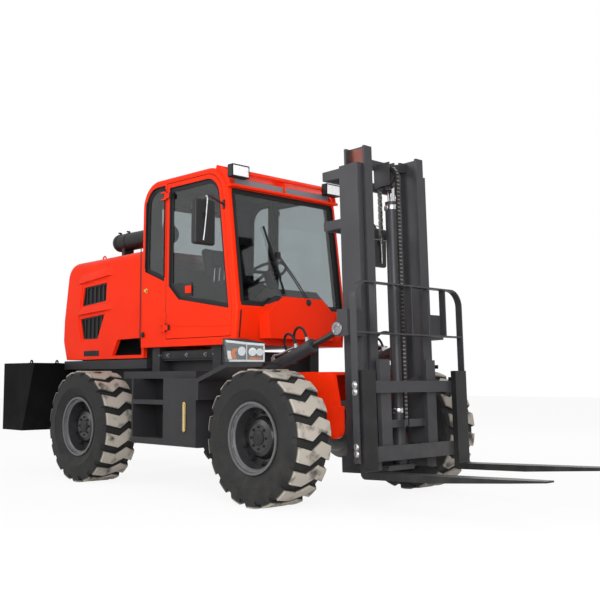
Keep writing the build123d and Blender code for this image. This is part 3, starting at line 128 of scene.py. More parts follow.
studio = {
    "floorSize": 80, "floorColour": (0.9, 0.9, 0.9, 1), "floorRough": 0.9, "glow": 0.9,
    "white": (1, 1, 1, 1), "skyLight": 0.5, "skySeen": 1,
}
half = studio["floorSize"] / 2
floorMesh = bpy.data.meshes.new("floor")
floorMesh.from_pydata([(-half, -half, 0), (half, -half, 0), (half, half, 0), (-half, half, 0)], [], [(0, 1, 2, 3)])
floor = bpy.data.objects.new("floor", floorMesh)
scene.collection.objects.link(floor)
material, tree, shader = newMaterial("paleFloor")
shader.inputs["Base Color"].default_value = studio["floorColour"]
shader.inputs["Roughness"].default_value = studio["floorRough"]
share = mathNode(tree, "MULTIPLY", anyRay(tree, "Camera", "Glossy"), studio["glow"])
mixShaders(tree, share, shader, addNode(tree, "ShaderNodeEmission"), tree.nodes["Material Output"])
floorMesh.materials.append(material)

scene.world = bpy.data.worlds.new("studioSky")
scene.world.use_nodes = True
tree = scene.world.node_tree
skyLit = tree.nodes["Background"]
skySeen = addNode(tree, "ShaderNodeBackground")
for background, strength in ((skyLit, studio["skyLight"]), (skySeen, studio["skySeen"])):
    background.inputs["Color"].default_value = studio["white"]
    background.inputs["Strength"].default_value = strength
mixShaders(tree, anyRay(tree, "Camera", "Transmission", "Glossy"), skyLit, skySeen, tree.nodes["World Output"])

lamps = [
    # name, place, aim, size, power
    ("keyLight", (9, -7, 8), (0, 0, 1), 5, 520),
    ("sideLight", (-5, -10, 6), (-1, 0, 1.2), 6, 340),
    ("noseLight", (5.6, -5.0, 2.3), (0.4, 0, 1.5), 2.5, 280),
    ("backLight", (-3, 8, 7), (0, 0, 1), 5, 220),
]
for name, place, aim, size, power in lamps:
    lamp = bpy.data.objects.new(name, bpy.data.lights.new(name, "AREA"))
    lamp.data.size = size
    lamp.data.energy = power
    lamp.location = place
    lamp.rotation_euler = (Vector(aim) - Vector(place)).to_track_quat("-Z", "Y").to_euler()
    scene.collection.objects.link(lamp)
print("camera and light set")


# shader groups that several finishes share
def shaderGroup(name, inputs, outputs):
    group = bpy.data.node_groups.new(name, "ShaderNodeTree")
    for labels, way in ((inputs, "INPUT"), (outputs, "OUTPUT")):
        for label in labels:
            group.interface.new_socket(label, in_out=way, socket_type="NodeSocketFloat")
    return group, group.nodes.new("NodeGroupInput").outputs, group.nodes.new("NodeGroupOutput").inputs


def useGroup(tree, group, values):
    return addNode(tree, "ShaderNodeGroup", values, node_tree=group).outputs


def noiseNode(tree, scale, detail=2):
    place = addNode(tree, "ShaderNodeTexCoord").outputs["Object"]
    return addNode(tree, "ShaderNodeTexNoise", {"Vector": place, "Scale": scale, "Detail": detail}).outputs["Fac"]


def vectorNode(tree, operation, first, second):
    return addNode(tree, "ShaderNodeVectorMath", {0: first, 1: second}, operation=operation).outputs


wearLook = {"samples": 4, "detail": 4, "edge": (0.02, 0.22), "patch": (0.42, 0.62)}
dustLook = {"detail": 5, "ground": 0.1, "lying": (0.3, 1.0), "lyingShare": 0.5, "cloud": (0.35, 0.75)}


def makeEdgeWear():
    group, start, end = shaderGroup("edgeWear", ["Radius", "Scale", "Amount"], ["Edge"])
    bevel = addNode(group, "ShaderNodeBevel", {"Radius": start["Radius"]}, samples=wearLook["samples"])
    normal = addNode(group, "ShaderNodeNewGeometry").outputs["Normal"]
    flat = vectorNode(group, "DOT_PRODUCT", bevel.outputs[0], normal)["Value"]
    edge = rangeNode(group, mathNode(group, "SUBTRACT", 1, flat), *wearLook["edge"])
    patchy = rangeNode(group, noiseNode(group, start["Scale"], wearLook["detail"]), *wearLook["patch"])
    worn = mathNode(group, "MULTIPLY", mathNode(group, "MULTIPLY", edge, patchy), start["Amount"])
    group.links.new(worn, end["Edge"])
    return group


def makeDustFall():
    group, start, end = shaderGroup("dustFall", ["Amount", "Scale", "Reach"], ["Dust"])
    place = addNode(group, "ShaderNodeTexCoord").outputs["Object"]
    normal = addNode(group, "ShaderNodeNewGeometry").outputs["Normal"]
    height, slope = [addNode(group, "ShaderNodeSeparateXYZ", {0: value}).outputs["Z"] for value in (place, normal)]
    low = mathNode(group, "SUBTRACT", 1, rangeNode(group, height, dustLook["ground"], start["Reach"]))
    lying = mathNode(group, "MULTIPLY", rangeNode(group, slope, *dustLook["lying"]), dustLook["lyingShare"])
    cloudy = rangeNode(group, noiseNode(group, start["Scale"], dustLook["detail"]), *dustLook["cloud"])
    where = mathNode(group, "MULTIPLY", mathNode(group, "MAXIMUM", low, lying), cloudy)
    group.links.new(mathNode(group, "MULTIPLY", where, start["Amount"]), end["Dust"])
    return group


def makeGrain():
    group, start, end = shaderGroup("grain", ["Scale", "Broad"], ["Tone", "Height"])
    group.links.new(noiseNode(group, start["Broad"]), end["Tone"])
    group.links.new(noiseNode(group, start["Scale"]), end["Height"])
    return group


def makeInward():
    group, start, end = shaderGroup("inward", ["Centre X", "Centre Z"], ["Inside"])
    place = addNode(group, "ShaderNodeTexCoord").outputs
    centre = addNode(group, "ShaderNodeCombineXYZ", {"X": start["Centre X"], "Z": start["Centre Z"]})
    away = vectorNode(group, "SUBTRACT", place["Object"], centre.outputs[0])["Vector"]
    outward = vectorNode(group, "DOT_PRODUCT", away, place["Normal"])["Value"]
    group.links.new(mathNode(group, "LESS_THAN", outward, 0), end["Inside"])
    return group


edgeWear = makeEdgeWear()
dustFall = makeDustFall()
grain = makeGrain()
inward = makeInward()


def mixColour(tree, share, first, second):
    first, second = [(*value, 1) if isinstance(value, tuple) else value for value in (first, second)]
    colourSockets = {0: share, 6: first, 7: second}
    return addNode(tree, "ShaderNodeMix", colourSockets, data_type="RGBA").outputs[2]


def radiusFrom(tree, centre):
    place = addNode(tree, "ShaderNodeTexCoord").outputs["Object"]
    flat = addNode(tree, "ShaderNodeMapping", {
        "Vector": place, "Location": (-centre.x, 0, -centre.z), "Scale": (1, 0, 1),
    })
    return addNode(tree, "ShaderNodeVectorMath", {0: flat.outputs[0]}, operation="LENGTH").outputs["Value"]


def roughBetween(tree, shader, value, low, high):
    spread = addNode(tree, "ShaderNodeMapRange", {"Value": value, "To Min": low, "To Max": high})
    tree.links.new(spread.outputs[0], shader.inputs["Roughness"])


def bumpBy(tree, shader, height, strength, distance):
    bump = addNode(tree, "ShaderNodeBump", {"Height": height, "Strength": strength, "Distance": distance})
    tree.links.new(bump.outputs[0], shader.inputs["Normal"])


# finishes: each names what differs from the plain look
plainLook = {
    "grainScale": 90, "broadScale": 2.5, "wear": 0, "wearWidth": 0.004, "wearScale": 14, "bare": (0.3, 0.29, 0.28),
    "dust": 0, "dustScale": 6, "dustReach": 1.2, "dustColour": (0.36, 0.31, 0.25), "roughSpread": 0.06,
    "toneSpan": (0.2, 0.8), "metal": 0, "specular": 0.5, "coat": 0, "coatRough": 0.08, "bump": 0.06, "bumpDepth": 0.001,
}


def finish(name, **changes):
    look = {**plainLook, **changes}
    material, tree, shader = newMaterial(name)
    rub = useGroup(tree, grain, {"Scale": look["grainScale"], "Broad": look["broadScale"]})
    colour = mixColour(tree, rub["Tone"], look["colour"], look["shade"])
    if look["wear"]:
        values = {"Radius": look["wearWidth"], "Scale": look["wearScale"], "Amount": look["wear"]}
        colour = mixColour(tree, useGroup(tree, edgeWear, values)["Edge"], colour, look["bare"])
    if look["dust"]:
        values = {"Amount": look["dust"], "Scale": look["dustScale"], "Reach": look["dustReach"]}
        colour = mixColour(tree, useGroup(tree, dustFall, values)["Dust"], colour, look["dustColour"])
    if "dish" in look:
        reach = rangeNode(tree, radiusFrom(tree, look["centre"]), *look["dish"])
        colour = mixColour(tree, reach, look["dishColour"], colour)
    if "trim" in look:
        values = {"Centre X": look["trimCentre"].x, "Centre Z": look["trimCentre"].z}
        colour = mixColour(tree, useGroup(tree, inward, values)["Inside"], colour, look["trim"])
    tree.links.new(colour, shader.inputs["Base Color"])
    tone = rangeNode(tree, rub["Tone"], *look["toneSpan"])
    roughBetween(tree, shader, tone, look["rough"] - look["roughSpread"], look["rough"] + look["roughSpread"])
    bumpBy(tree, shader, rub["Height"], look["bump"], look["bumpDepth"])
    constants = {
        "Metallic": "metal", "Specular IOR Level": "specular", "Coat Weight": "coat", "Coat Roughness": "coatRough",
    }
    for label, key in constants.items():
        shader.inputs[label].default_value = look[key]
    return material


red = {
    "colour": (0.86, 0.03, 0.004), "shade": (0.76, 0.022, 0.003), "rough": 0.36, "coat": 0.03, "specular": 0.06,
    "wear": 0.12, "bare": (0.7, 0.09, 0.04), "dust": 0.02, "grainScale": 160, "bump": 0.03,
}
redPaint = finish("redPaint", **red)
cabPaint = finish("cabPaint", **red, trim=(0.03, 0.031, 0.034), trimCentre=behindAxle(1.4, 0, 2.1))
chassisGrey = finish(
    "chassisGrey", colour=(0.024, 0.024, 0.027), shade=(0.016, 0.016, 0.018), rough=0.5, specular=0.22, wear=0.3,
    bare=(0.1, 0.1, 0.1), dust=0.03, dustReach=1.3, bump=0.08)
mastGrey = finish(
    "mastGrey", colour=(0.034, 0.034, 0.038), shade=(0.025, 0.025, 0.028), rough=0.46, specular=0.35, wear=0.4,
    bare=(0.15, 0.15, 0.155), dust=0.08)
blackPaint = finish(
    "blackPaint", colour=(0.012, 0.012, 0.013), shade=(0.008, 0.008, 0.009), rough=0.45, specular=0.25, wear=0.35,
    bare=(0.1, 0.1, 0.1), dust=0.05)
ballastBlack = finish(
    "ballastBlack", colour=(0.005, 0.005, 0.0055), shade=(0.0035, 0.0035, 0.004), rough=0.6, specular=0.04, wear=0.3,
    bare=(0.06, 0.06, 0.06), dust=0.02, grainScale=40, bump=0.25, bumpDepth=0.002)
castIron = finish(
    "castIron", colour=(0.035, 0.035, 0.037), shade=(0.02, 0.02, 0.021), rough=0.6, wear=0.3, dust=0.4,
    grainScale=60, bump=0.3, bumpDepth=0.002)
hubBlack = finish(
    "hubBlack", colour=(0.016, 0.016, 0.017), shade=(0.01, 0.01, 0.011), rough=0.45, specular=0.25, wear=0.4,
    bare=(0.1, 0.1, 0.1))
blackPlastic = finish(
    "blackPlastic", colour=(0.014, 0.014, 0.015), shade=(0.01, 0.01, 0.011), rough=0.5, specular=0.3, wear=0.15,
    bare=(0.06, 0.06, 0.06), dust=0.06, grainScale=320, bump=0.25)
softRubber = finish(
    "softRubber", colour=(0.012, 0.012, 0.013), shade=(0.008, 0.008, 0.009), rough=0.62, specular=0.25,
    grainScale=200, bump=0.15)
boltSteel = finish(
    "boltSteel", colour=(0.55, 0.55, 0.56), shade=(0.42, 0.42, 0.43), rough=0.3, metal=1, wear=0.2,
    bare=(0.7, 0.7, 0.7), dust=0.1)
pinSteel = finish(
    "pinSteel", colour=(0.24, 0.24, 0.25), shade=(0.17, 0.17, 0.18), rough=0.4, metal=0.7, wear=0.4,
    bare=(0.5, 0.5, 0.5))
visorGrey = finish(
    "visorGrey", colour=(0.19, 0.19, 0.205), shade=(0.14, 0.14, 0.15), rough=0.4, specular=0.3, dust=0.1, bump=0.05)
oiledSteel = finish(
    "oiledSteel", colour=(0.09, 0.085, 0.08), shade=(0.05, 0.047, 0.044), rough=0.35, metal=0.85, wear=0.5,
    bare=(0.35, 0.34, 0.33), wearWidth=0.002, dust=0.1)
rodChrome = finish(
    "rodChrome", colour=(0.62, 0.62, 0.63), shade=(0.55, 0.55, 0.56), rough=0.14, roughSpread=0.04, metal=1, bump=0.02)
yellowBrass = finish(
    "yellowBrass", colour=(0.62, 0.42, 0.13), shade=(0.5, 0.33, 0.1), rough=0.3, metal=0.8, wear=0.2)
amberLens = finish(
    "amberLens", colour=(0.85, 0.22, 0.02), shade=(0.75, 0.16, 0.01), rough=0.2, coat=0.6, bump=0.2, grainScale=400)
slideBronze = finish(
    "slideBronze", colour=(0.2, 0.055, 0.035), shade=(0.12, 0.035, 0.028), rough=0.4, metal=0.5, broadScale=5, wear=0.3)
screenInk = finish(
    "screenInk", colour=(0.02, 0.021, 0.022), shade=(0.014, 0.014, 0.015), rough=0.25, coat=0.3, bump=0.02)
lampShade = finish(
    "lampShade", colour=(0.16, 0.165, 0.17), shade=(0.1, 0.1, 0.105), rough=0.3, metal=0.5, coat=0.5, bump=0.05)
lampSilver = finish(
    "lampSilver", colour=(0.9, 0.9, 0.91), shade=(0.78, 0.79, 0.81), rough=0.22, coat=0.8, metal=0.15,
    grainScale=240, bump=0.3, bumpDepth=0.002)
sightTube = finish(
    "sightTube", colour=(0.5, 0.46, 0.3), shade=(0.4, 0.36, 0.22), rough=0.12, coat=1, bump=0.02)
mirrorSilver = finish(
    "mirrorSilver", colour=(0.86, 0.87, 0.88), shade=(0.84, 0.85, 0.86), rough=0.06, roughSpread=0.02, metal=1, bump=0)
seatCloth = finish(
    "seatCloth", colour=(0.03, 0.031, 0.034), shade=(0.02, 0.02, 0.022), rough=0.85, grainScale=600, bump=0.5)

glassLook = {"smear": {"Scale": 30, "Broad": 3}, "smearTint": 0.94, "roughSpread": 0.03, "bend": 1.45}


def clearFinish(name, tint, rough):
    material, tree, shader = newMaterial(name)
    smear = useGroup(tree, grain, glassLook["smear"])["Tone"]
    colour = mixColour(tree, smear, tint, tuple(glassLook["smearTint"] * value for value in tint))
    tree.links.new(colour, shader.inputs["Base Color"])
    roughBetween(tree, shader, smear, rough, rough + glassLook["roughSpread"])
    shader.inputs["Transmission Weight"].default_value = 1
    shader.inputs["IOR"].default_value = glassLook["bend"]
    return material


clearLens = clearFinish("clearLens", (0.9, 0.92, 0.93), 0.03)
cabGlass = clearFinish("cabGlass", (0.5, 0.54, 0.55), 0.01)

tyreLook = {
    "rubber": (0.016, 0.016, 0.016), "rubberShade": (0.011, 0.011, 0.011), "grain": {"Scale": 120, "Broad": 5},
    "dust": (0.13, 0.115, 0.1), "dustFall": {"Amount": 0.12, "Scale": 7, "Reach": 1.1},
    "worn": (0.37, 0.335, 0.29), "tread": (0.518, 0.535), "cloud": (0.25, 0.52), "cloudScale": 9, "cloudDetail": 6,
    "rough": 0.7, "specular": 0.25, "ribs": 420, "ribHeight": 0.12, "bump": 0.35, "bumpDepth": 0.003,
}


def tyreFinish(name, centre):
    material, tree, shader = newMaterial(name)
    radius = radiusFrom(tree, centre)
    rub = useGroup(tree, grain, tyreLook["grain"])
    dust = useGroup(tree, dustFall, tyreLook["dustFall"])["Dust"]
    cloudy = rangeNode(tree, noiseNode(tree, tyreLook["cloudScale"], tyreLook["cloudDetail"]), *tyreLook["cloud"])
    tread = mathNode(tree, "MULTIPLY", rangeNode(tree, radius, *tyreLook["tread"]), cloudy)
    rubber = mixColour(tree, rub["Tone"], tyreLook["rubber"], tyreLook["rubberShade"])
    colour = mixColour(tree, tread, mixColour(tree, dust, rubber, tyreLook["dust"]), tyreLook["worn"])
    tree.links.new(colour, shader.inputs["Base Color"])
    shader.inputs["Roughness"].default_value = tyreLook["rough"]
    shader.inputs["Specular IOR Level"].default_value = tyreLook["specular"]
    wave = mathNode(tree, "SINE", mathNode(tree, "MULTIPLY", radius, tyreLook["ribs"]), 0)
    height = mathNode(tree, "ADD", mathNode(tree, "MULTIPLY", wave, tyreLook["ribHeight"]), rub["Height"])
    bumpBy(tree, shader, height, tyreLook["bump"], tyreLook["bumpDepth"])
    return material


rimFinishes = {}
tyreFinishes = {}
for end, axle in axles.items():
    rimFinishes[end] = finish(
        end + "RimGrey", colour=(0.085, 0.085, 0.09), shade=(0.06, 0.06, 0.065), rough=0.36, wear=0.4, dust=0.05,
        bare=(0.3, 0.3, 0.31), centre=axle, dish=(0.236, 0.242), dishColour=(0.011, 0.011, 0.012))
    tyreFinishes[end] = tyreFinish(end + "Rubber", axle)

nodeFinishes = {
    "body_red": redPaint, "chassis_grey": chassisGrey, "mast_grey": mastGrey, "black_paint": blackPaint,
    "axle_iron": castIron, "ballast_iron": ballastBlack, "glass": cabGlass, "lens": lampSilver,
    "black_plastic": blackPlastic, "seat_cloth": seatCloth, "rod_chrome": rodChrome, "chain_steel": oiledSteel,
}
linedNodes = ["cab_frame", "door_right", "door_left", "nose_panel"]
for part in frame["record"]["subparts"]:
    name, slot = part["node"], part["material_slot"]
    end = "front" if "front" in name else "rear"
    if name in linedNodes:
        surface = cabPaint
    else:
        surface = {**nodeFinishes, "rim_grey": rimFinishes[end], "tyre": tyreFinishes[end]}[slot]
    nodes[name].data.materials.clear()
    nodes[name].data.materials.append(surface)
print("finishes set")

# meshes of the dressing pieces
shaping = {
    "sharpAngle": radians(34), "weld": 0.00002, "bevelSteps": 2, "bevelProfile": 0.6, "pipeSteps": 8, "pipeRing": 3,
}


def addTo(form, part, finishIndex, place=Matrix.Identity(4)):
    for face in part.faces:
        face.material_index = finishIndex
    part.transform(place)
    carrier = bpy.data.meshes.new("carrier")
    part.to_mesh(carrier)
    part.free()
    form.from_mesh(carrier)
    bpy.data.meshes.remove(carrier)


def bevelEdges(part, width):
    bmesh.ops.bevel(part, geom=part.edges[:], offset=width, segments=shaping["bevelSteps"], affect="EDGES",
                    profile=shaping["bevelProfile"])


def frameAt(centre, along, up):
    along = along.normalized()
    side = up.cross(along).normalized()
    turn = Matrix((along, side, along.cross(side))).transposed().to_4x4()
    return Matrix.Translation(centre) @ turn


def block(form, centre, size, bevel=0.004, along=forward, up=upward, finishIndex=0):
    part = bmesh.new()
    bmesh.ops.create_cube(part, size=1)
    bmesh.ops.scale(part, vec=size, verts=part.verts)
    bevelEdges(part, bevel)
    addTo(form, part, finishIndex, frameAt(centre, along, up))


def turned(form, profile, centre, axis, count=28, finishIndex=0, hollow=False):
    part = bmesh.new()
    rings = []
    angles = [2 * pi * index / count for index in range(count)]
    for radius, height in profile:
        rings.append([part.verts.new((radius * cos(angle), radius * sin(angle), height)) for angle in angles])
    for low, high in zip(rings, rings[1:] + rings[:hollow]):
        for index in range(count):
            part.faces.new((low[index - 1], low[index], high[index], high[index - 1]))
    if not hollow:
        part.faces.new(list(reversed(rings[0])))
        part.faces.new(rings[-1])
    bmesh.ops.recalc_face_normals(part, faces=part.faces)
    turn = axis.to_track_quat("Z", "Y").to_matrix().to_4x4()
    addTo(form, part, finishIndex, Matrix.Translation(centre) @ turn)


def band(form, radius, steps, centre, axis, count, finishIndex=0):
    low = [(radius + step, -height) for step, height in steps]
    high = [(radius + step, height) for step, height in reversed(steps)]
    turned(form, low + high, centre, axis, count, finishIndex, True)


def plate(form, corners, push, bevel=0, finishIndex=0):
    part = bmesh.new()
    face = part.faces.new([part.verts.new(corner) for corner in corners])
    raised = bmesh.ops.extrude_face_region(part, geom=[face])["geom"]
    bmesh.ops.translate(part, vec=push, verts=[item for item in raised if isinstance(item, bmesh.types.BMVert)])
    bmesh.ops.recalc_face_normals(part, faces=part.faces)
    if bevel:
        bevelEdges(part, bevel)
    addTo(form, part, finishIndex)


def rectangle(place, firsts, seconds):
    (left, right), (low, high) = firsts, seconds
    return [place(left, low), place(right, low), place(right, high), place(left, high)]


def routeCurve(name, points, radius):
    curve = bpy.data.curves.new(name, "CURVE")
    curve.dimensions = "3D"
    curve.bevel_depth = radius
    curve.bevel_resolution = shaping["pipeRing"]
    curve.resolution_u = shaping["pipeSteps"]
    curve.use_fill_caps = True
    spline = curve.splines.new("NURBS")
    spline.points.add(len(points) - 1)
    for point, place in zip(spline.points, points):
        point.co = (*place, 1)
    spline.order_u = 3
    spline.use_endpoint_u = True
    return curve


def routeMesh(points, radius):
    curve = routeCurve("route", points, radius)
    route = bpy.data.objects.new("route", curve)
    carrier = bpy.data.meshes.new_from_object(route)
    bpy.data.objects.remove(route)
    bpy.data.curves.remove(curve)
    return carrier


def pipe(form, points, radius, finishIndex=0):
    carrier = routeMesh(points, radius)
    part = bmesh.new()
    part.from_mesh(carrier)
    addTo(form, part, finishIndex)
    bpy.data.meshes.remove(carrier)


def smoothFaces(mesh):
    for face in mesh.polygons:
        face.use_smooth = True
    mesh.set_sharp_from_angle(angle=shaping["sharpAngle"])


def linked(name, data):
    made = bpy.data.objects.new(name, data)
    scene.collection.objects.link(made)
    return made


def piece(name, form, body, *finishes):
    mesh = bpy.data.meshes.new(name)
    bmesh.ops.remove_doubles(form, verts=form.verts, dist=shaping["weld"])
    form.to_mesh(mesh)
    form.free()
    for surface in finishes:
        mesh.materials.append(surface)
    smoothFaces(mesh)
    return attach(linked(name, mesh), body)


def hose(name, body, points, diameter):
    curve = routeCurve(name, points, diameter / 2)
    curve.materials.append(softRubber)
    made = linked(name, curve)
    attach(made, body)
    carrier = routeMesh(points, 0)
    bpy.data.meshes.remove(carrier)


def bakeModifiers(made):
    old = made.data
    shaped = bpy.data.meshes.new_from_object(made.evaluated_get(bpy.context.evaluated_depsgraph_get()))
    made.modifiers.clear()
    made.data = shaped
    bpy.data.meshes.remove(old)
    shaped.name = made.name


# repeated small parts are set out by Geometry Nodes
def geometryTree(name, numbers):
    tree = bpy.data.node_groups.new(name, "GeometryNodeTree")
    tree.interface.new_socket("Geometry", in_out="INPUT", socket_type="NodeSocketGeometry")
    for label in numbers:
        tree.interface.new_socket(label, in_out="INPUT", socket_type="NodeSocketFloat")
    tree.interface.new_socket("Finish", in_out="INPUT", socket_type="NodeSocketMaterial")
    tree.interface.new_socket("Geometry", in_out="OUTPUT", socket_type="NodeSocketGeometry")
    return tree, tree.nodes.new("NodeGroupInput").outputs


def named(tree, name, kind):
    return addNode(tree, "GeometryNodeInputNamedAttribute", {"Name": name}, data_type=kind).outputs["Attribute"]


def joined(tree, shapes):
    join = addNode(tree, "GeometryNodeJoinGeometry")
    for shape in reversed(shapes):
        tree.links.new(shape, join.inputs[0])
    return join.outputs[0]


def instanceOn(tree, start, shape, selection=True):
    return addNode(tree, "GeometryNodeInstanceOnPoints", {
        "Points": start["Geometry"], "Instance": shape, "Rotation": named(tree, "turn", "FLOAT_VECTOR"),
        "Selection": selection,
    }).outputs["Instances"]


def closeTree(tree, start, shapes):
    real = addNode(tree, "GeometryNodeRealizeInstances", {0: joined(tree, shapes)})
    painted = addNode(tree, "GeometryNodeSetMaterial", {"Geometry": real.outputs[0], "Material": start["Finish"]})
    tree.links.new(painted.outputs[0], tree.nodes.new("NodeGroupOutput").inputs["Geometry"])
    return tree


def moved(tree, shape, **changes):
    return addNode(tree, "GeometryNodeTransform", {"Geometry": shape, **changes}).outputs[0]


def cylinder(tree, count, radius, depth):
    values = {"Vertices": count, "Radius": radius, "Depth": depth}
    return addNode(tree, "GeometryNodeMeshCylinder", values).outputs["Mesh"]


def cube(tree, x, y, z):
    size = addNode(tree, "ShaderNodeCombineXYZ", {"X": x, "Y": y, "Z": z}).outputs[0]
    return addNode(tree, "GeometryNodeMeshCube", {"Size": size}).outputs["Mesh"]


def upBy(tree, height, share):
    rise = mathNode(tree, "MULTIPLY", height, share)
    return addNode(tree, "ShaderNodeCombineXYZ", {"Z": rise}).outputs[0]


boltShape = {
    # sides, share of the radius, share of the height, middle as a share of the height
    "stud": (14, 0.55, 1.5, 0.75), "nut": (6, 1, 1, 0.6), "washer": (20, 1.45, 0.25, 0.12),
}
domeShape = {"Segments": 20, "Rings": 12, "flat": (1, 1, 0.55), "washer": (20, 1.3, 0.3)}


def boltTree():
    tree, start = geometryTree("boltRing", ["Radius", "Height"])
    shapes = []
    for count, wide, tall, middle in boltShape.values():
        radius = mathNode(tree, "MULTIPLY", start["Radius"], wide)
        height = mathNode(tree, "MULTIPLY", start["Height"], tall)
        lift = upBy(tree, start["Height"], middle)
        shapes.append(moved(tree, cylinder(tree, count, radius, height), Translation=lift))
    return closeTree(tree, start, [instanceOn(tree, start, joined(tree, shapes))])


def domeTree():
    tree, start = geometryTree("domeBolts", ["Radius"])
    values = {"Segments": domeShape["Segments"], "Rings": domeShape["Rings"], "Radius": start["Radius"]}
    dome = addNode(tree, "GeometryNodeMeshUVSphere", values).outputs["Mesh"]
    count, wide, thin = domeShape["washer"]
    radius, depth = [mathNode(tree, "MULTIPLY", start["Radius"], share) for share in (wide, thin)]
    shapes = [moved(tree, dome, Scale=domeShape["flat"]), cylinder(tree, count, radius, depth)]
    return closeTree(tree, start, [instanceOn(tree, start, joined(tree, shapes))])


def slatTree():
    tree, start = geometryTree("slats", ["Length", "Width", "Depth"])
    slat = cube(tree, start["Length"], start["Width"], start["Depth"])
    return closeTree(tree, start, [instanceOn(tree, start, slat)])


def setOut(name, body, tree, spots, kinds=None, **values):
    mesh = bpy.data.meshes.new(name)
    mesh.from_pydata([spot for spot, turn in spots], [], [])
    turns = mesh.attributes.new("turn", "FLOAT_VECTOR", "POINT")
    for index, (spot, turn) in enumerate(spots):
        turns.data[index].vector = turn
    if kinds:
        mesh.attributes.new("kind", "INT", "POINT").data.foreach_set("value", kinds)
    made = linked(name, mesh)
    modifier = made.modifiers.new("setOut", "NODES")
    modifier.node_group = tree
    for item in tree.interface.items_tree:
        if item.in_out == "INPUT" and item.name in values:
            modifier[item.identifier] = values[item.name]
    bakeModifiers(made)
    smoothFaces(made.data)
    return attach(made, body)


def facing(direction):
    return tuple(direction.to_track_quat("Z", "Y").to_euler())


bolts = boltTree()
domes = domeTree()
slats = slatTree()
print("helpers ready")

# black screens behind the hood's vents and louvres
ventScreen = {
    "depth": 0.6035, "thickness": 0.002,
    "upper": [(3.305, 1.776), (3.263, 1.971), (2.828, 1.996), (2.841, 1.81)],
    "lower": [(3.331, 1.644), (2.865, 1.676), (2.989, 1.419), (3.274, 1.422)],
    "louvres": (1.672, 2.038), "louvreHalf": 0.398, "louvreGap": 0.028,
    "wall": 3.712, "wallFrom": 1.64, "wallLean": 0.102 / 0.618,
}


def onRearWall(y, z):
    wall = ventScreen["wall"] - (z - ventScreen["wallFrom"]) * ventScreen["wallLean"]
    return behindAxle(wall - ventScreen["louvreGap"], y, z)


screens = bmesh.new()
for side in sides.values():
    for label in ("upper", "lower"):
        corners = [onSide(side, ventScreen["depth"], place) for place in ventScreen[label]]
        plate(screens, corners, across * -side * ventScreen["thickness"])
corners = rectangle(onRearWall, (-ventScreen["louvreHalf"], ventScreen["louvreHalf"]), ventScreen["louvres"])
plate(screens, corners, forward * ventScreen["thickness"])
piece("ventScreens", screens, "hood", blackPlastic)

# slats of the low grille on each side of the hood
lowGrille = {
    "from": 2.944, "length": 0.296, "height": 0.059, "z": 1.2655, "out": 0.6405, "thickness": 0.004, "bevel": 0.0015,
    "count": 11, "slatOut": 0.6425, "slat": {"Length": 0.009, "Width": 0.006, "Depth": 0.05},
}
backing = bmesh.new()
spots = []
for side in sides.values():
    centre = onSide(side, lowGrille["out"], (lowGrille["from"] + lowGrille["length"] / 2, lowGrille["z"]))
    block(backing, centre, (lowGrille["length"], lowGrille["thickness"], lowGrille["height"]), lowGrille["bevel"])
    for index in range(lowGrille["count"]):
        back = lowGrille["from"] + (index + 0.5) * lowGrille["length"] / lowGrille["count"]
        spots.append((onSide(side, lowGrille["slatOut"], (back, lowGrille["z"])), (0, 0, 0)))
piece("lowGrillePlate", backing, "hood", blackPlastic)
setOut("lowGrilleSlats", "hood", slats, spots, **lowGrille["slat"], Finish=blackPaint)

# pressed brows over the hood's vents, which fade out at both ends
brow = {
    "side": 0.64, "proud": 0.028, "sunk": 0.004, "bevel": 0.003, "stations": ((0, 0.1), (0.1, 1), (0.9, 1), (1, 0.1)),
    "lines": [
        {"rear": (3.37, 2.015), "front": (2.7, 2.073), "rise": 0.1},
        {"rear": (3.38, 1.679), "front": (2.71, 1.715), "rise": 0.075},
    ],
}


def browWedge(form, side, line):
    part = bmesh.new()
    rear, front = [onSide(side, brow["side"], line[end]) for end in ("rear", "front")]
    out = across * side
    rings = []
    for share, height in brow["stations"]:
        place = rear.lerp(front, share)
        root = place - out * brow["sunk"]
        corners = (root, place + out * brow["proud"] * height, root + upward * line["rise"])
        rings.append([part.verts.new(corner) for corner in corners])
    for before, after in zip(rings, rings[1:]):
        for index in range(3):
            part.faces.new((before[index - 1], before[index], after[index], after[index - 1]))
    part.faces.new(rings[0])
    part.faces.new(rings[-1])
    bmesh.ops.recalc_face_normals(part, faces=part.faces)
    bevelEdges(part, brow["bevel"])
    addTo(form, part, 0)


brows = bmesh.new()
for side in sides.values():
    for line in brow["lines"]:
        browWedge(brows, side, line)
piece("hoodBrows", brows, "hood", redPaint)

# rubber strip on the cab's back edge
hoodStrip = {"place": (2.1225, 1.845), "half": 0.612, "size": (0.004, 0.02, 0.79), "bevel": 0.0015}
strip = bmesh.new()
for side in sides.values():
    block(strip, onSide(side, hoodStrip["half"], hoodStrip["place"]), hoodStrip["size"], hoodStrip["bevel"])
piece("hoodStrip", strip, "chassis", softRubber)

# lifting eyes on the hood
hoodEye = {
    "places": [(3.088, 0.5)], "z": 2.272, "rise": 0.01, "radius": 0.03, "wire": 0.008, "angles": range(-30, 211, 40),
    "foot": [(0.03, -0.012), (0.03, -0.004), (0.022, 0.002), (0.016, 0.004)],
}


def liftingEyes(name, body, eye, surface):
    eyes = bmesh.new()
    for side in sides.values():
        for back, y in eye["places"]:
            foot = behindAxle(back, side * y, eye["z"])
            turned(eyes, eye["foot"], foot, upward)
            arch = []
            for angle in eye["angles"]:
                out = forward * cos(radians(angle)) + upward * sin(radians(angle))
                arch.append(foot + upward * eye["rise"] + out * eye["radius"])
            pipe(eyes, arch, eye["wire"])
    piece(name, eyes, body, surface)


liftingEyes("hoodEyes", "hood", hoodEye, redPaint)
print("hood dressed")

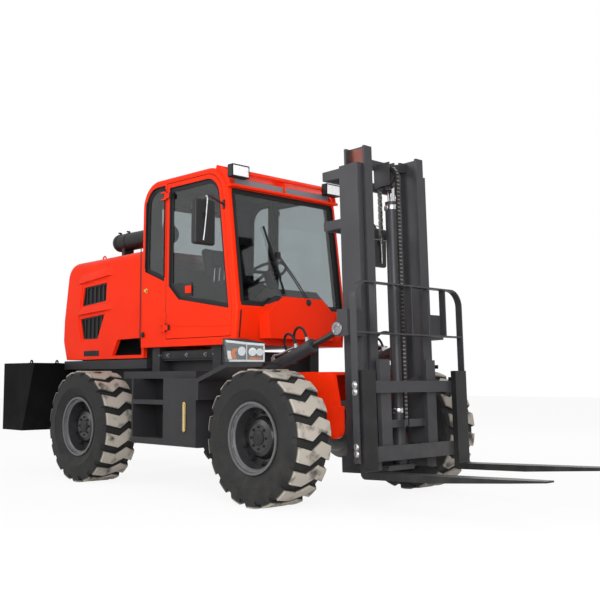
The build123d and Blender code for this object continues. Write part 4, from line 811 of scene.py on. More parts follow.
# black seal bands round the glass
seal = {
    "door": 0.04, "quarter": 0.035, "screen": 0.045, "rear": 0.035, "proud": 0.006, "screenProud": 0.005,
    "weld": 0.0001, "flat": radians(2), "sameWay": 0.9,
}


def sealBand(name, node, outward, body, width, proud=seal["proud"]):
    form = bmesh.new()
    form.from_mesh(nodes[node].data)
    bmesh.ops.remove_doubles(form, verts=form.verts, dist=seal["weld"])
    bmesh.ops.dissolve_limit(form, angle_limit=seal["flat"], verts=form.verts, edges=form.edges)
    outward = outward.normalized()
    others = [face for face in form.faces if face.normal.dot(outward) <= seal["sameWay"]]
    bmesh.ops.delete(form, geom=others, context="FACES")
    bmesh.ops.inset_region(form, faces=form.faces[:], thickness=width, use_boundary=True, use_even_offset=True)
    inside = [face for face in form.faces if not any(edge.is_boundary for edge in face.edges)]
    bmesh.ops.delete(form, geom=inside, context="FACES")
    raised = bmesh.ops.extrude_face_region(form, geom=form.faces[:])["geom"]
    tops = [item for item in raised if isinstance(item, bmesh.types.BMVert)]
    bmesh.ops.translate(form, vec=outward * proud, verts=tops)
    bmesh.ops.recalc_face_normals(form, faces=form.faces)
    return piece(name, form, body, softRubber)


windscreen = {"behind": 0.68, "foot": 1.605, "lean": 0.13282, "outward": (1, 0, 0.1328)}
for label, side in sides.items():
    sealBand(f"doorSeal_{label}", f"door_glass_{label}", across * side, f"door_{label}", seal["door"])
    sealBand(f"quarterSeal_{label}", "cab_glass", across * side, "chassis", seal["quarter"])
sealBand("screenSeal", "cab_glass", Vector(windscreen["outward"]), "chassis", seal["screen"], seal["screenProud"])
sealBand("rearSeal", "cab_glass", -forward, "chassis", seal["rear"])


def onScreen(y, z, proud):
    return behindAxle(windscreen["behind"] + (z - windscreen["foot"]) * windscreen["lean"] - proud, y, z)


# dark band on the windscreen over the nose's hump
hump = {"corners": [(-0.53, 1.642), (0.53, 1.642), (0.33, 1.815), (-0.33, 1.815)], "proud": 0.0006, "thickness": 0.001}
dark = bmesh.new()
plate(dark, [onScreen(y, z, hump["proud"]) for y, z in hump["corners"]], forward * hump["thickness"])
piece("screenBand", dark, "chassis", screenInk)

# grey visor panel behind the roof guard's tubes
visor = {"heights": (2.712, 2.795), "widths": (-0.6, 0.6), "proud": 0.0215, "thickness": 0.003, "bevel": 0.001}
panel = bmesh.new()
corners = rectangle(lambda y, z: onScreen(y, z, visor["proud"]), visor["widths"], visor["heights"])
plate(panel, corners, forward * visor["thickness"], visor["bevel"])
piece("visorPanel", panel, "chassis", visorGrey)

# wiper: two arms from the cowl to a blade on the glass
wiper = {
    "foot": (0.553, 0.075, 1.695), "boss": [(0.03, -0.012), (0.032, 0.004), (0.026, 0.014), (0.012, 0.018)],
    "bossAxis": (1, 0, 0.2), "arm": 0.006, "armLead": 0.006, "armGap": 0.016, "armClose": 0.8, "armBow": 0.012,
    "head": (-0.16, 2.127, 0.034), "headSize": (0.03, 0.05, 0.06), "headBevel": 0.005,
    "bladeHigh": (-0.291, 2.388, 0.014), "bladeLow": (-0.096, 1.773, 0.014), "blade": (0.012, 0.02),
    "spine": (0.36, 0.014, 0.01), "spineLift": 0.014, "bevel": 0.003,
}
arms = bmesh.new()
foot = behindAxle(*wiper["foot"])
head = onScreen(*wiper["head"])
for shift in (-wiper["armGap"], wiper["armGap"]):
    start = foot + Vector((wiper["armLead"], shift, 0))
    end = head + across * shift * wiper["armClose"]
    middle = start.lerp(end, 0.5) + forward * wiper["armBow"]
    pipe(arms, [start, start.lerp(middle, 0.5), middle, middle.lerp(end, 0.5), end], wiper["arm"])
turned(arms, wiper["boss"], foot, Vector(wiper["bossAxis"]))
block(arms, head, wiper["headSize"], wiper["headBevel"])
high, low = onScreen(*wiper["bladeHigh"]), onScreen(*wiper["bladeLow"])
middle, along = high.lerp(low, 0.5), high - low
block(arms, middle, (along.length, *wiper["blade"]), wiper["bevel"], along, forward)
block(arms, middle + forward * wiper["spineLift"], wiper["spine"], wiper["bevel"], along, forward)
piece("wiper", arms, "chassis", blackPlastic)

# door latch plate, handle and hold-open catch
latch = {
    "plate": [(1.66, 1.895), (1.32, 1.885), (1.31, 1.76), (1.5, 1.762), (1.63, 1.86)],
    "out": 0.6755, "thickness": 0.006, "bevel": 0.002,
    "handle": (1.365, 1.822), "handleOut": 0.687, "handleSize": (0.085, 0.012, 0.07), "handleBevel": 0.005,
    "lock": (1.425, 1.822), "lockOut": 0.681, "lockShape": [(0.012, 0), (0.013, 0.006), (0.008, 0.012)],
}
catch = {
    "out": 0.7005, "place": (2.004, 1.85), "stop": (2.061, 1.424),
    "shape": [(0.024, 0), (0.024, 0.006), (0.012, 0.008), (0.01, 0.02), (0.016, 0.024), (0.01, 0.03)],
    "stopShape": [(0.026, 0), (0.027, 0.008), (0.018, 0.014)],
}
catches = bmesh.new()
for label, side in sides.items():
    out = across * side
    handle = bmesh.new()
    corners = [onSide(side, latch["out"], place) for place in latch["plate"]]
    plate(handle, corners, out * latch["thickness"], latch["bevel"])
    centre = onSide(side, latch["handleOut"], latch["handle"])
    block(handle, centre, latch["handleSize"], latch["handleBevel"], finishIndex=1)
    turned(handle, latch["lockShape"], onSide(side, latch["lockOut"], latch["lock"]), out)
    piece(f"doorLatch_{label}", handle, f"door_{label}", blackPlastic, redPaint)
    turned(catches, catch["shape"], onSide(side, catch["out"], catch["place"]), out)
    turned(catches, catch["stopShape"], onSide(side, catch["out"], catch["stop"]), out, finishIndex=1)
piece("doorCatches", catches, "chassis", yellowBrass, softRubber)
print("cab glass and doors dressed")

# mirror glass on the rear faces, and bright stays down the front
mirror = {
    "place": (0.6405, 2.31), "y": 1.11, "size": (0.004, 0.196, 0.36), "bevel": 0.0015, "stay": 0.007,
    "line": [(0.62, 1.075, 2.535), (0.568, 1.1, 2.53), (0.566, 1.105, 2.46), (0.568, 1.13, 2.2), (0.575, 1.135, 2.15)],
    "clip": (0.572, 2.36), "clipY": 1.112, "clipSize": (0.016, 0.04, 0.05),
}
glassy = bmesh.new()
stays = bmesh.new()
for side in sides.values():
    block(glassy, onSide(side, mirror["y"], mirror["place"]), mirror["size"], mirror["bevel"])
    pipe(stays, [behindAxle(back, side * y, z) for back, y, z in mirror["line"]], mirror["stay"])
    block(stays, onSide(side, mirror["clipY"], mirror["clip"]), mirror["clipSize"], finishIndex=1)
piece("mirrorGlass", glassy, "chassis", mirrorSilver)
piece("mirrorStays", stays, "chassis", boltSteel, blackPlastic)

# levers on the console, and pods with dials on the dash
lever = {
    "count": 4, "start": 1.16, "step": 0.075, "y": -0.365, "z": 1.88, "rod": 0.006,
    "boot": [(0.028, 0), (0.026, 0.01), (0.016, 0.028), (0.009, 0.04)],
    "line": [(0, 0), (0.006, 0.06), (0.01, 0.12), (0.02, 0.17)],
    "knob": [(0.008, 0), (0.02, 0.012), (0.024, 0.03), (0.018, 0.048), (0.006, 0.054)],
    "knobPlace": (0.02, 0, 0.165), "knobAxis": (0.1, 0, 1),
}
pod = {
    "rows": [((0.8, -0.33, 1.685), (0.1, 0.3, 0.09)), ((0.8, 0.33, 1.67), (0.1, 0.26, 0.06))], "bevel": 0.02,
    "along": (1, 0, 0.3), "dials": (-0.4, -0.33, -0.26), "dialPlace": (0.848, 1.7), "dialAxis": (-1, 0, 0.3),
    "dial": [(0.028, 0), (0.03, 0.006), (0.024, 0.008)],
}
levers = bmesh.new()
for index in range(lever["count"]):
    base = behindAxle(lever["start"] + index * lever["step"], lever["y"], lever["z"])
    turned(levers, lever["boot"], base, upward, finishIndex=1)
    pipe(levers, [base + forward * x + upward * z for x, z in lever["line"]], lever["rod"])
    turned(levers, lever["knob"], base + Vector(lever["knobPlace"]), Vector(lever["knobAxis"]), finishIndex=1)
for place, size in pod["rows"]:
    block(levers, behindAxle(*place), size, pod["bevel"], Vector(pod["along"]), finishIndex=1)
for y in pod["dials"]:
    turned(levers, pod["dial"], onSide(1, y, pod["dialPlace"]), Vector(pod["dialAxis"]))
piece("cabLevers", levers, "chassis", boltSteel, blackPlastic)
print("cab inside dressed")

# wheel nuts, hub bolts, hub caps and valves
wheel = {
    "y": 0.93, "nuts": (0.203, 10, 0.5, 0.035), "nut": {"Radius": 0.017, "Height": 0.026},  # radius, count, start, out
    "bolts": (0.085, 8, 0, 0.095), "bolt": {"Radius": 0.009, "Height": 0.01},
    "capOut": 0.095, "cap": [(0.06, -0.001), (0.06, 0.006), (0.052, 0.012), (0.03, 0.014)],
    "valve": [(0.222, 0.05), (0.222, 0.07), (0.226, 0.085), (0.232, 0.1)], "valveUp": 0.03, "valveRadius": 0.005,
}


def ringSpots(centre, side, radius, count, start, out):
    spots = []
    for index in range(count):
        angle = 2 * pi * (index + start) / count
        spots.append((centre + Vector((radius * cos(angle), side * out, radius * sin(angle))), facing(across * side)))
    return spots


for end, axle in axles.items():
    for label, side in sides.items():
        body = f"wheel_{end}_{label}"
        centre = Vector((axle.x, side * wheel["y"], axle.z))
        for name, ring, shape in (("wheelNuts", "nuts", "nut"), ("hubBolts", "bolts", "bolt")):
            spots = ringSpots(centre, side, *wheel[ring])
            setOut(f"{name}_{end}_{label}", body, bolts, spots, **wheel[shape], Finish=hubBlack)
        cap = bmesh.new()
        turned(cap, wheel["cap"], centre + across * side * wheel["capOut"], across * side)
        valve = [centre + Vector((x, side * y, wheel["valveUp"])) for x, y in wheel["valve"]]
        pipe(cap, valve, wheel["valveRadius"], 1)
        piece(f"hubCap_{end}_{label}", cap, body, hubBlack, yellowBrass)
print("wheels dressed")

# dome bolts on the load backrest
domeBolt = {"ahead": 0.42, "y": 0.683, "ups": (0.3375, 0.2845, -0.128, -0.18), "radius": 0.021}
spots = []
for side in sides.values():
    for up in domeBolt["ups"]:
        spots.append((onMast(domeBolt["ahead"], side * domeBolt["y"], up), facing(across * side)))
setOut("backrestBolts", "carriage", domes, spots, Radius=domeBolt["radius"], Finish=boltSteel)

# bare slide faces at the inner mast's head, and the lift cylinder's collars
slide = {"heights": (1.2, 2.262), "widths": (0.147, 0.299), "y": 0.3552, "thickness": 0.0012}
faces = bmesh.new()
for side in sides.values():
    corners = rectangle(lambda ahead, up: onMast(ahead, side * slide["y"], up), slide["widths"], slide["heights"])
    plate(faces, corners, across * side * slide["thickness"])
piece("slideFaces", faces, "inner_mast", slideBronze)

collar = {
    "ahead": 0.215, "y": 0.07, "ups": (-0.18, 0.13, 1.83), "radius": 0.055, "count": 36,
    "steps": [(-0.004, 0.022), (0.006, 0.02), (0.009, 0.012)],
}
rings = bmesh.new()
for up in collar["ups"]:
    band(rings, collar["radius"], collar["steps"], onMast(collar["ahead"], collar["y"], up), mastUp, collar["count"])
piece("cylinderCollars", rings, "mast", boltSteel)
print("mast dressed")

# leaf chain: outer plates, inner plates and pins set out along the chain's line
chain = {
    "pitch": 0.0318, "radius": 0.0963, "x": 0.275, "y": -0.035, "z": 2.052, "frontLow": 0.03, "backLow": 1.58,
    "linkSpan": 1.62, "leaf": {"Depth": 0.021, "Leaf": 0.0046}, "rivet": (10, 0.0058, 0.042),
    "outerLeaves": (-0.0155, -0.0035, 0.0085), "innerLeaves": (-0.0095, 0.0025, 0.0145),
    "pin": {"Length": 0.0218, "Width": 0.03, "Depth": 0.0065},
}
sheave = {
    "count": 48, "rim": [(0.021, -0.022), (0.06, -0.022), (0.064, -0.014), (0.076, -0.014), (0.085, -0.0215),
                         (0.085, -0.019), (0.0845, 0.019), (0.085, 0.0215), (0.076, 0.014), (0.064, 0.014),
                         (0.06, 0.022), (0.021, 0.022)],
    "clasp": (0.022, 0.036, 0.05), "claspUp": 0.004, "anchorDown": 0.006, "anchorCount": 12,
    "anchor": [(0.012, -0.06), (0.012, -0.03), (0.018, -0.028), (0.018, -0.012), (0.009, -0.01), (0.009, 0)],
}


def linkTree():
    tree, start = geometryTree("leafChain", ["Pitch", "Depth", "Leaf"])
    kind = named(tree, "kind", "INT")
    span = mathNode(tree, "MULTIPLY", start["Pitch"], chain["linkSpan"])
    leaf = cube(tree, start["Depth"], start["Leaf"], span)
    shapes = []
    for value, label in enumerate(("outerLeaves", "innerLeaves")):
        leaves = joined(tree, [moved(tree, leaf, Translation=(0, y, 0)) for y in chain[label]])
        same = addNode(tree, "FunctionNodeCompare", data_type="INT", operation="EQUAL")
        tree.links.new(kind, same.inputs[2])
        same.inputs[3].default_value = value
        shapes.append(instanceOn(tree, start, leaves, same.outputs[0]))
    rivet = moved(tree, cylinder(tree, *chain["rivet"]), Rotation=(pi / 2, 0, 0))
    rivet = moved(tree, rivet, Translation=upBy(tree, start["Pitch"], 0.5))
    shapes.append(instanceOn(tree, start, rivet))
    return closeTree(tree, start, shapes)


def onChain(shift, up):
    return onMast(chain["x"] + shift, chain["y"], up)


def chainRun(shift, low, turn):
    count = int((chain["z"] - low) / chain["pitch"])
    return [(onChain(shift, chain["z"] - (index + 0.5) * chain["pitch"]), turn) for index in range(count)]


def chainSpots():
    lean = mastUp.angle(upward)
    radius = chain["radius"]
    spots = chainRun(radius, chain["frontLow"], (0, -lean, 0))
    turns = round(pi * radius / chain["pitch"])
    for index in range(turns):
        angle = pi * (index + 0.5) / turns
        spots.append((onChain(radius * cos(angle), chain["z"] + radius * sin(angle)), (0, -lean - angle, 0)))
    return spots + chainRun(-radius, chain["backLow"], (0, -lean, 0))


spots = chainSpots()
kinds = [index % 2 for index in range(len(spots))]
links = setOut("leafChain", "inner_mast", linkTree(), spots, kinds, Pitch=chain["pitch"], **chain["leaf"],
               Finish=oiledSteel)
pinSpots = []
for spot, turn in spots:
    pinSpots.append((spot + Matrix.Rotation(turn[1], 3, "Y") @ (upward * chain["pitch"] / 2), turn))
setOut("chainPins", "inner_mast", slats, pinSpots, **chain["pin"], Finish=pinSteel)
pulley = bmesh.new()
turned(pulley, sheave["rim"], onChain(0, chain["z"]), -across, sheave["count"], 0, True)
for shift, low in ((chain["radius"], chain["frontLow"]), (-chain["radius"], chain["backLow"])):
    block(pulley, onChain(shift, low + sheave["claspUp"]), sheave["clasp"], along=mastAhead, up=mastUp)
anchor = onChain(-chain["radius"], chain["backLow"] - sheave["anchorDown"])
turned(pulley, sheave["anchor"], anchor, mastUp, sheave["anchorCount"])
wheelPiece = piece("chainSheave", pulley, "inner_mast", oiledSteel)
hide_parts("lift_chain")
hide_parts("lift_chain")
print("chain dressed:", len(spots), "links")

# tilt cylinders: ports, collars, pipe, hoses and pin plates
tilt = {
    "anchor": (0.48, 1.037), "y": 0.555, "eyeAhead": 0.185, "eyeUp": 0.785, "barrel": 0.055, "count": 36,
    "ports": (0.17, 0.47, 0.61), "portSunk": 0.004, "collars": ((0.645, 0.059), (0.2, 0.057)),
    "port": [(0.024, 0), (0.024, 0.014), (0.018, 0.016), (0.018, 0.036), (0.012, 0.04)],
    "collarSteps": [(-0.005, 0.016), (0, 0.014)], "pipe": 0.009,
    "pipeFrom": (0.17, 0.03), "pipeTo": (0.45, 0.012), "pipeLift": (0.02, 0.018), "pipeShares": (0.25, 0.7),
}
tiltHose = {
    "diameter": 0.022, "runs": (("front", 0.61, 0.2), ("back", 0.47, 0.185)),  # name, port, length along the barrel
    "exitUp": 0.024, "endIn": 0.008, "endUp": 0.012, "clip": (0.04, 0.032, 0.045), "clipOut": 0.002,
    "loop": [(0, 0, 0.06), (-0.03, 0, 0.115), (-0.1, 0.02, 0.14)],  # along, inwards and up from the port
    "fall": (0.02, 0.04, 0.1), "landing": (0, 0.006, 0.07),
}
tiltPin = {
    "plateY": 0.6112, "count": 32, "boltAngles": (40, 220), "boltRing": 0.034, "boltCount": 6, "bushY": 0.5925,
    "plate": [(0.052, 0), (0.052, 0.007), (0.05, 0.009), (0.026, 0.0092), (0.024, 0.004), (0.006, 0.004)],
    "bolt": [(0.009, 0.008), (0.009, 0.015), (0.005, 0.017)],
    "bush": [(0.03, -0.003), (0.034, -0.002), (0.034, 0), (0.03, 0.0004)],
}


def dressTilt(label, side):
    body = f"tilt_barrel_{label}"
    out = across * side
    anchor = onSide(side, tilt["y"], tilt["anchor"])
    along = (onMast(tilt["eyeAhead"], side * tilt["y"], tilt["eyeUp"]) - anchor).normalized()
    top = Vector((-along.z, 0, along.x))

    def offset(distance, inwards, up):
        return along * distance - out * inwards + top * up

    dressing = bmesh.new()
    for distance in tilt["ports"]:
        port = anchor + offset(distance, 0, tilt["barrel"] - tilt["portSunk"])
        turned(dressing, tilt["port"], port, top, 6)
    for distance, radius in tilt["collars"]:
        band(dressing, radius, tilt["collarSteps"], anchor + along * distance, along, tilt["count"], 1)
    ends = (tilt["pipeFrom"], tilt["pipeTo"])
    start, end = [anchor + offset(distance, 0, tilt["barrel"] + up) for distance, up in ends]
    lift = offset(tilt["pipeLift"][0], 0, tilt["pipeLift"][1])
    pipe(dressing, [start, start + lift, *[start.lerp(end, share) for share in tilt["pipeShares"]], end], tilt["pipe"])
    for name, distance, reach in tiltHose["runs"]:
        start = anchor + offset(distance, 0, tilt["barrel"] + tiltHose["exitUp"])
        end = anchor + offset(distance - reach, tilt["barrel"] + tiltHose["endIn"], tiltHose["endUp"])
        route = [start, *[start + offset(*step) for step in tiltHose["loop"]],
                 start + offset(*tiltHose["fall"]) - along * reach, end + offset(*tiltHose["landing"]), end]
        hose(f"tiltHose_{name}_{label}", body, route, tiltHose["diameter"])
        block(dressing, end + out * tiltHose["clipOut"], tiltHose["clip"], along=along, up=top, finishIndex=2)
    piece(f"tiltFittings_{label}", dressing, body, boltSteel, mastGrey, blackPaint)
    plates = bmesh.new()
    boss, bush = [onMast(tilt["eyeAhead"], side * tiltPin[y], tilt["eyeUp"]) for y in ("plateY", "bushY")]
    turned(plates, tiltPin["plate"], boss, out, tiltPin["count"], 2)
    for angle in tiltPin["boltAngles"]:
        reach = mastAhead * cos(radians(angle)) + mastUp * sin(radians(angle))
        turned(plates, tiltPin["bolt"], boss + reach * tiltPin["boltRing"], out, tiltPin["boltCount"])
    turned(plates, tiltPin["bush"], bush, out, tiltPin["count"], 1, True)
    piece(f"tiltPins_{label}", plates, "mast", boltSteel, yellowBrass, pinSteel)


for label, side in sides.items():
    dressTilt(label, side)
print("tilt cylinders dressed")

# sill plate under the cab with its bolts
sill = {
    "outline": [(1.02, 1.262), (1.95, 1.262), (1.95, 1.205), (1.91, 1.185), (1.07, 1.185), (1.02, 1.215)],
    "y": 0.594, "thickness": 0.01, "bevel": 0.002, "bolts": (1.07, 1.2, 1.48, 1.77, 1.9), "boltZ": 1.222,
    "bolt": {"Radius": 0.013, "Height": 0.014}, "lugY": 0.547, "lug": (0.05, 0.094, 0.05),
}
sills = bmesh.new()
spots = []
for side in sides.values():
    corners = [onSide(side, sill["y"], place) for place in sill["outline"]]
    plate(sills, corners, across * side * sill["thickness"], sill["bevel"])
    for back in sill["bolts"]:
        block(sills, onSide(side, sill["lugY"], (back, sill["boltZ"])), sill["lug"])
        spots.append((onSide(side, sill["y"] + sill["thickness"], (back, sill["boltZ"])), facing(across * side)))
piece("sillPlates", sills, "chassis", chassisGrey)
setOut("sillBolts", "chassis", bolts, spots, **sill["bolt"], Finish=pinSteel)

# level gauge on the right tank
gauge = {
    "place": (0.985, -1.0005, 0.67), "plate": (0.046, 0.004, 0.26), "plateBevel": 0.0015,
    "rails": (-0.016, 0.016), "railOut": -0.005, "rail": (0.009, 0.008, 0.24), "railBevel": 0.002,
    "tube": (-0.11, -0.05, 0.05, 0.11), "tubeOut": -0.007, "tubeRadius": 0.007,
    "screws": (-0.115, 0.115), "screwOut": -0.002, "screw": [(0.015, 0), (0.015, 0.008), (0.009, 0.011)],
}
sight = bmesh.new()
middle = behindAxle(*gauge["place"])
block(sight, middle, gauge["plate"], gauge["plateBevel"], finishIndex=1)
for shift in gauge["rails"]:
    block(sight, middle + Vector((shift, gauge["railOut"], 0)), gauge["rail"], gauge["railBevel"])
pipe(sight, [middle + Vector((0, gauge["tubeOut"], z)) for z in gauge["tube"]], gauge["tubeRadius"], 2)
for z in gauge["screws"]:
    turned(sight, gauge["screw"], middle + Vector((0, gauge["screwOut"], z)), -across, 6)
piece("levelGauge", sight, "chassis", yellowBrass, blackPaint, sightTube)

# clamps round the air cleaner
cleaner = {
    "y": -0.3, "z": 2.472, "radius": 0.099, "clamps": (2.24, 2.46, 2.9, 3.06), "count": 40,
    "steps": [(-0.006, 0.013), (0, 0.012)], "lug": (0.02, 0.036, 0.016), "lugPlace": (0, -0.03, 0.105), "bevel": 0.003,
}
straps = bmesh.new()
for back in cleaner["clamps"]:
    where = behindAxle(back, cleaner["y"], cleaner["z"])
    band(straps, cleaner["radius"], cleaner["steps"], where, forward, cleaner["count"])
    block(straps, where + Vector(cleaner["lugPlace"]), cleaner["lug"], cleaner["bevel"])
piece("cleanerClamps", straps, "hood", blackPaint)

# lifting eyes on the counterweight
weightEye = {
    "places": [(4.055, 0.498), (4.19, 0.74)], "z": 1.1705, "rise": 0.012, "radius": 0.026, "wire": 0.008,
    "angles": range(-20, 201, 44), "foot": [(0.05, -0.002), (0.05, 0.004), (0.042, 0.008), (0.02, 0.009)],
}
liftingEyes("weightEyes", "chassis", weightEye, ballastBlack)
print("chassis and counterweight dressed")

# headlamp faces: reflectors, amber strips and clear covers in place of the plain lenses
bend = 0.2522  # distance along the lamp at which its face turns forward
far = bend + 0.15
headlamp = {
    "plan": [(0.545, 0.945), (0.3, 0.885), (0.24, 0.745)], "low": 1.134, "high": 1.328, "slopeFrom": 0.47,
    "slope": 0.1553, "bowls": ((0.2, 0.034), (bend + 0.045, 0.03), (bend + 0.108, 0.026)), "bowlShare": 0.52,
    "bowlCount": 24, "bowlOut": (0.001, 0.02),
}
lampLayers = [
    # finish, thickness, distance out, and patches of points along the lamp and up its height
    (1, 0.0006, 0.0004, [
        [(0.06, 0.02), (bend, 0.02), (bend, 0.98), (0.02, 0.98)],
        [(bend, 0.02), (far, 0.02), (far, 0.98), (bend, 0.98)],
    ]),
    (0, 0.0016, 0.001, [
        [(0.045, 0.86), (bend, 0.86), (bend, 0.97), (0.03, 0.97)],
        [(bend, 0.86), (far, 0.86), (far, 0.97), (bend, 0.97)],
        [(0.075, 0.03), (bend, 0.03), (bend, 0.12), (0.07, 0.12)],
        [(bend, 0.03), (far, 0.03), (far, 0.12), (bend, 0.12)],
        [(bend - 0.008, 0.1), (bend, 0.1), (bend, 0.88), (bend - 0.008, 0.88)],
        [(far - 0.012, 0.12), (far, 0.12), (far, 0.86), (far - 0.012, 0.86)],
        [(0.06, 0.14), (0.1, 0.14), (0.085, 0.5), (0.05, 0.5)],
    ]),
    (2, 0.0018, 0.001, [
        [(0.1, 0.16), (0.15, 0.16), (0.125, 0.42), (0.16, 0.62), (0.12, 0.62), (0.085, 0.42)],
        [(bend + 0.02, 0.15), (far - 0.03, 0.15), (far - 0.03, 0.24), (bend + 0.02, 0.24)],
    ]),
]
lampCover = (0, 0.0012, 0.005, [
    [(0.03, 0.01), (bend, 0.01), (bend, 0.99), (0.012, 0.99)],
    [(bend, 0.01), (far, 0.01), (far, 0.99), (bend, 0.99)],
])


def bowlShape(radius):
    return [(radius + 0.004, 0), (radius + 0.004, 0.003), (radius, 0.0034), (radius * 0.72, 0.0018),
            (radius * 0.3, 0.0012), (0.004, 0.0024)]


def onLamp(side, distance, share, out):
    first, corner, last = [Vector((-back, y, 0)) for back, y in headlamp["plan"]]
    length = (corner - first).length
    if distance < length:
        base, run, walked = first, (corner - first).normalized(), distance
    else:
        base, run, walked = corner, (last - corner).normalized(), distance - length
    place = base + run * walked - Vector((run.y, -run.x, 0)) * out
    drop = max(0, headlamp["slopeFrom"] + place.x) * headlamp["slope"]
    z = headlamp["low"] + share * (headlamp["high"] - drop - headlamp["low"])
    return Vector((frontAxle.x + place.x, side * place.y, z))


def lampPatches(form, side, finishIndex, thickness, out, patches):
    for points in patches:
        corners = [onLamp(side, distance, share, out) for distance, share in points]
        first = points[0][0]
        push = onLamp(side, first, 0.5, out + thickness) - onLamp(side, first, 0.5, out)
        plate(form, corners, push, 0, finishIndex)


faces = bmesh.new()
covers = bmesh.new()
for side in sides.values():
    for layer in lampLayers:
        lampPatches(faces, side, *layer)
    for distance, radius in headlamp["bowls"]:
        centre, tip = [onLamp(side, distance, headlamp["bowlShare"], out) for out in headlamp["bowlOut"]]
        turned(faces, bowlShape(radius), centre, tip - centre, headlamp["bowlCount"])
    lampPatches(covers, side, *lampCover)
headlampFaces = piece("headlampFaces", faces, "chassis", lampSilver, lampShade, amberLens)
headlampCovers = piece("headlampCovers", covers, "chassis", clearLens)

# work lamps on the roof's corners, each with rows of lens cells
workLamp = {
    "place": (0.7305, 2.843), "y": 0.597, "width": 0.189, "height": 0.099, "rows": 2, "columns": 4, "depth": 0.0024,
    "bevel": 0.0008, "rim": (0.006, 0.008), "rimOut": 0.0015, "rimBevel": 0.001, "cell": 0.0085, "cellOut": 0.001,
}
panes = bmesh.new()
spots = []
wide, tall = workLamp["width"], workLamp["height"]
deep, thick = workLamp["rim"]
for side in sides.values():
    centre = onSide(side, workLamp["y"], workLamp["place"])
    block(panes, centre, (workLamp["depth"], wide, tall), workLamp["bevel"])
    rimCentre = centre + forward * workLamp["rimOut"]
    for way in (-0.5, 0.5):
        upright, level = (deep, thick, tall + thick), (deep, wide + thick, thick)
        block(panes, rimCentre + across * way * wide, upright, workLamp["rimBevel"], finishIndex=1)
        block(panes, rimCentre + upward * way * tall, level, workLamp["rimBevel"], finishIndex=1)
    for row in range(workLamp["rows"]):
        for column in range(workLamp["columns"]):
            y = ((column + 0.5) / workLamp["columns"] - 0.5) * wide
            z = ((row + 0.5) / workLamp["rows"] - 0.5) * tall
            spots.append((centre + Vector((workLamp["cellOut"], y, z)), facing(forward)))
workFaces = piece("workLampFaces", panes, "chassis", lampSilver, blackPlastic)
setOut("workLampCells", "chassis", domes, spots, Radius=workLamp["cell"], Finish=lampSilver)
for made in (headlampFaces, headlampCovers, workFaces):
    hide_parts("lamp_lenses")

# black strips of painted shade along the gaps: cab to hood, and pillar to nose
gapShadeStrip = {
    "hood": (2.112, 1.83), "hoodY": 0.7008, "hoodSize": (0.014, 0.003, 0.92), "hoodBevel": 0.001,
    "noseFoot": (0.685, 1.36), "noseTop": (0.66, 1.6), "noseY": 0.646, "nose": (0.011, 0.014), "noseBevel": 0.002,
}
edges = bmesh.new()
for side in sides.values():
    block(edges, onSide(side, gapShadeStrip["hoodY"], gapShadeStrip["hood"]), gapShadeStrip["hoodSize"], gapShadeStrip["hoodBevel"])
    foot, top = [onSide(side, gapShadeStrip["noseY"], gapShadeStrip[end]) for end in ("noseFoot", "noseTop")]
    size = ((top - foot).length, *gapShadeStrip["nose"])
    block(edges, foot.lerp(top, 0.5), size, gapShadeStrip["noseBevel"], top - foot, forward)
# these strips paint the shade of the gaps in black
piece("edgeSeals", edges, "chassis", softRubber)
print("lamps and seals dressed")

# seat: cushions blown up by cloth simulation, then sewn channels
seat = {
    "voxel": 0.008, "bevel": 0.03, "bevelSteps": 3, "pressure": 4, "quality": 5, "frames": 20, "cap": 0.024,
    "channel": 0.007, "channelWidth": 0.009, "channelFacing": 0.3,
}
pads = {
    # each channel: the axis that it is measured along, its place there, and the axis that its face looks along
    "seatCushion": {
        "centre": (1.475, 0, 1.737), "size": (0.45, 0.46, 0.078), "lean": 0,
        "channels": [(1, -0.13, 2), (1, 0.13, 2), (0, -0.07, 2), (0, 0.07, 2)],
    },
    "seatBack": {
        "centre": (1.7, 0, 2.06), "size": (0.085, 0.46, 0.5), "lean": -13.5,
        "channels": [(1, -0.13, 0), (1, 0.13, 0), (2, -0.1, 0), (2, 0.05, 0)],
    },
}


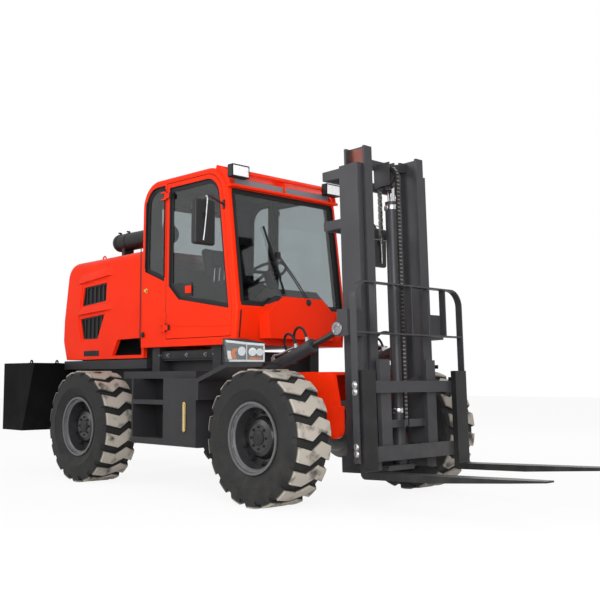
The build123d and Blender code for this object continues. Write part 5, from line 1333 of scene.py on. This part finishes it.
def roundedBox(name, size):
    form = bmesh.new()
    bmesh.ops.create_cube(form, size=1)
    bmesh.ops.scale(form, vec=size, verts=form.verts)
    bmesh.ops.bevel(form, geom=form.edges[:], offset=seat["bevel"], segments=seat["bevelSteps"], affect="EDGES",
                    profile=0.5)
    mesh = bpy.data.meshes.new(name)
    form.to_mesh(mesh)
    form.free()
    return linked(name, mesh)


def blowUp(made):
    rest = [vert.co.copy() for vert in made.data.vertices]
    cloth = made.modifiers.new("cloth", "CLOTH")
    cloth.settings.use_pressure = True
    cloth.settings.uniform_pressure_force = seat["pressure"]
    cloth.settings.effector_weights.gravity = 0
    cloth.settings.quality = seat["quality"]
    cloth.collision_settings.use_collision = False
    scene.frame_start = cloth.point_cache.frame_start = 1
    scene.frame_end = cloth.point_cache.frame_end = seat["frames"]
    for moment in range(1, seat["frames"] + 1):
        scene.frame_set(moment)
    bakeModifiers(made)
    scene.frame_set(1)
    for vert, start in zip(made.data.vertices, rest):
        shift = vert.co - start
        if shift.length > seat["cap"]:
            vert.co = start + shift * (seat["cap"] / shift.length)
    smooth = made.modifiers.new("subdivision", "SUBSURF")
    smooth.levels = smooth.render_levels = 1
    bakeModifiers(made)


def sewChannels(mesh, channels):
    normals = [vert.normal.copy() for vert in mesh.vertices]  # read before the points move
    for vert, normal in zip(mesh.vertices, normals):
        for axis, place, outAxis in channels:
            if normal[outAxis] > seat["channelFacing"]:
                distance = (vert.co[axis] - place) / seat["channelWidth"]
                vert.co[outAxis] -= seat["channel"] * exp(-distance * distance)


for name, pad in pads.items():
    made = roundedBox(name, pad["size"])
    remesh = made.modifiers.new("remesh", "REMESH")
    remesh.mode = "VOXEL"
    remesh.voxel_size = seat["voxel"] * 1
    bakeModifiers(made)
    blowUp(made)
    sewChannels(made.data, pad["channels"])
    turn = Matrix.Rotation(radians(pad["lean"]), 4, "Y")
    made.data.transform(Matrix.Translation(behindAxle(*pad["centre"])) @ turn)
    for face in made.data.polygons:
        face.use_smooth = True
    made.data.materials.clear()
    made.data.materials.append(seatCloth)
    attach(made, "chassis")
    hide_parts("seat")
print("seat made")
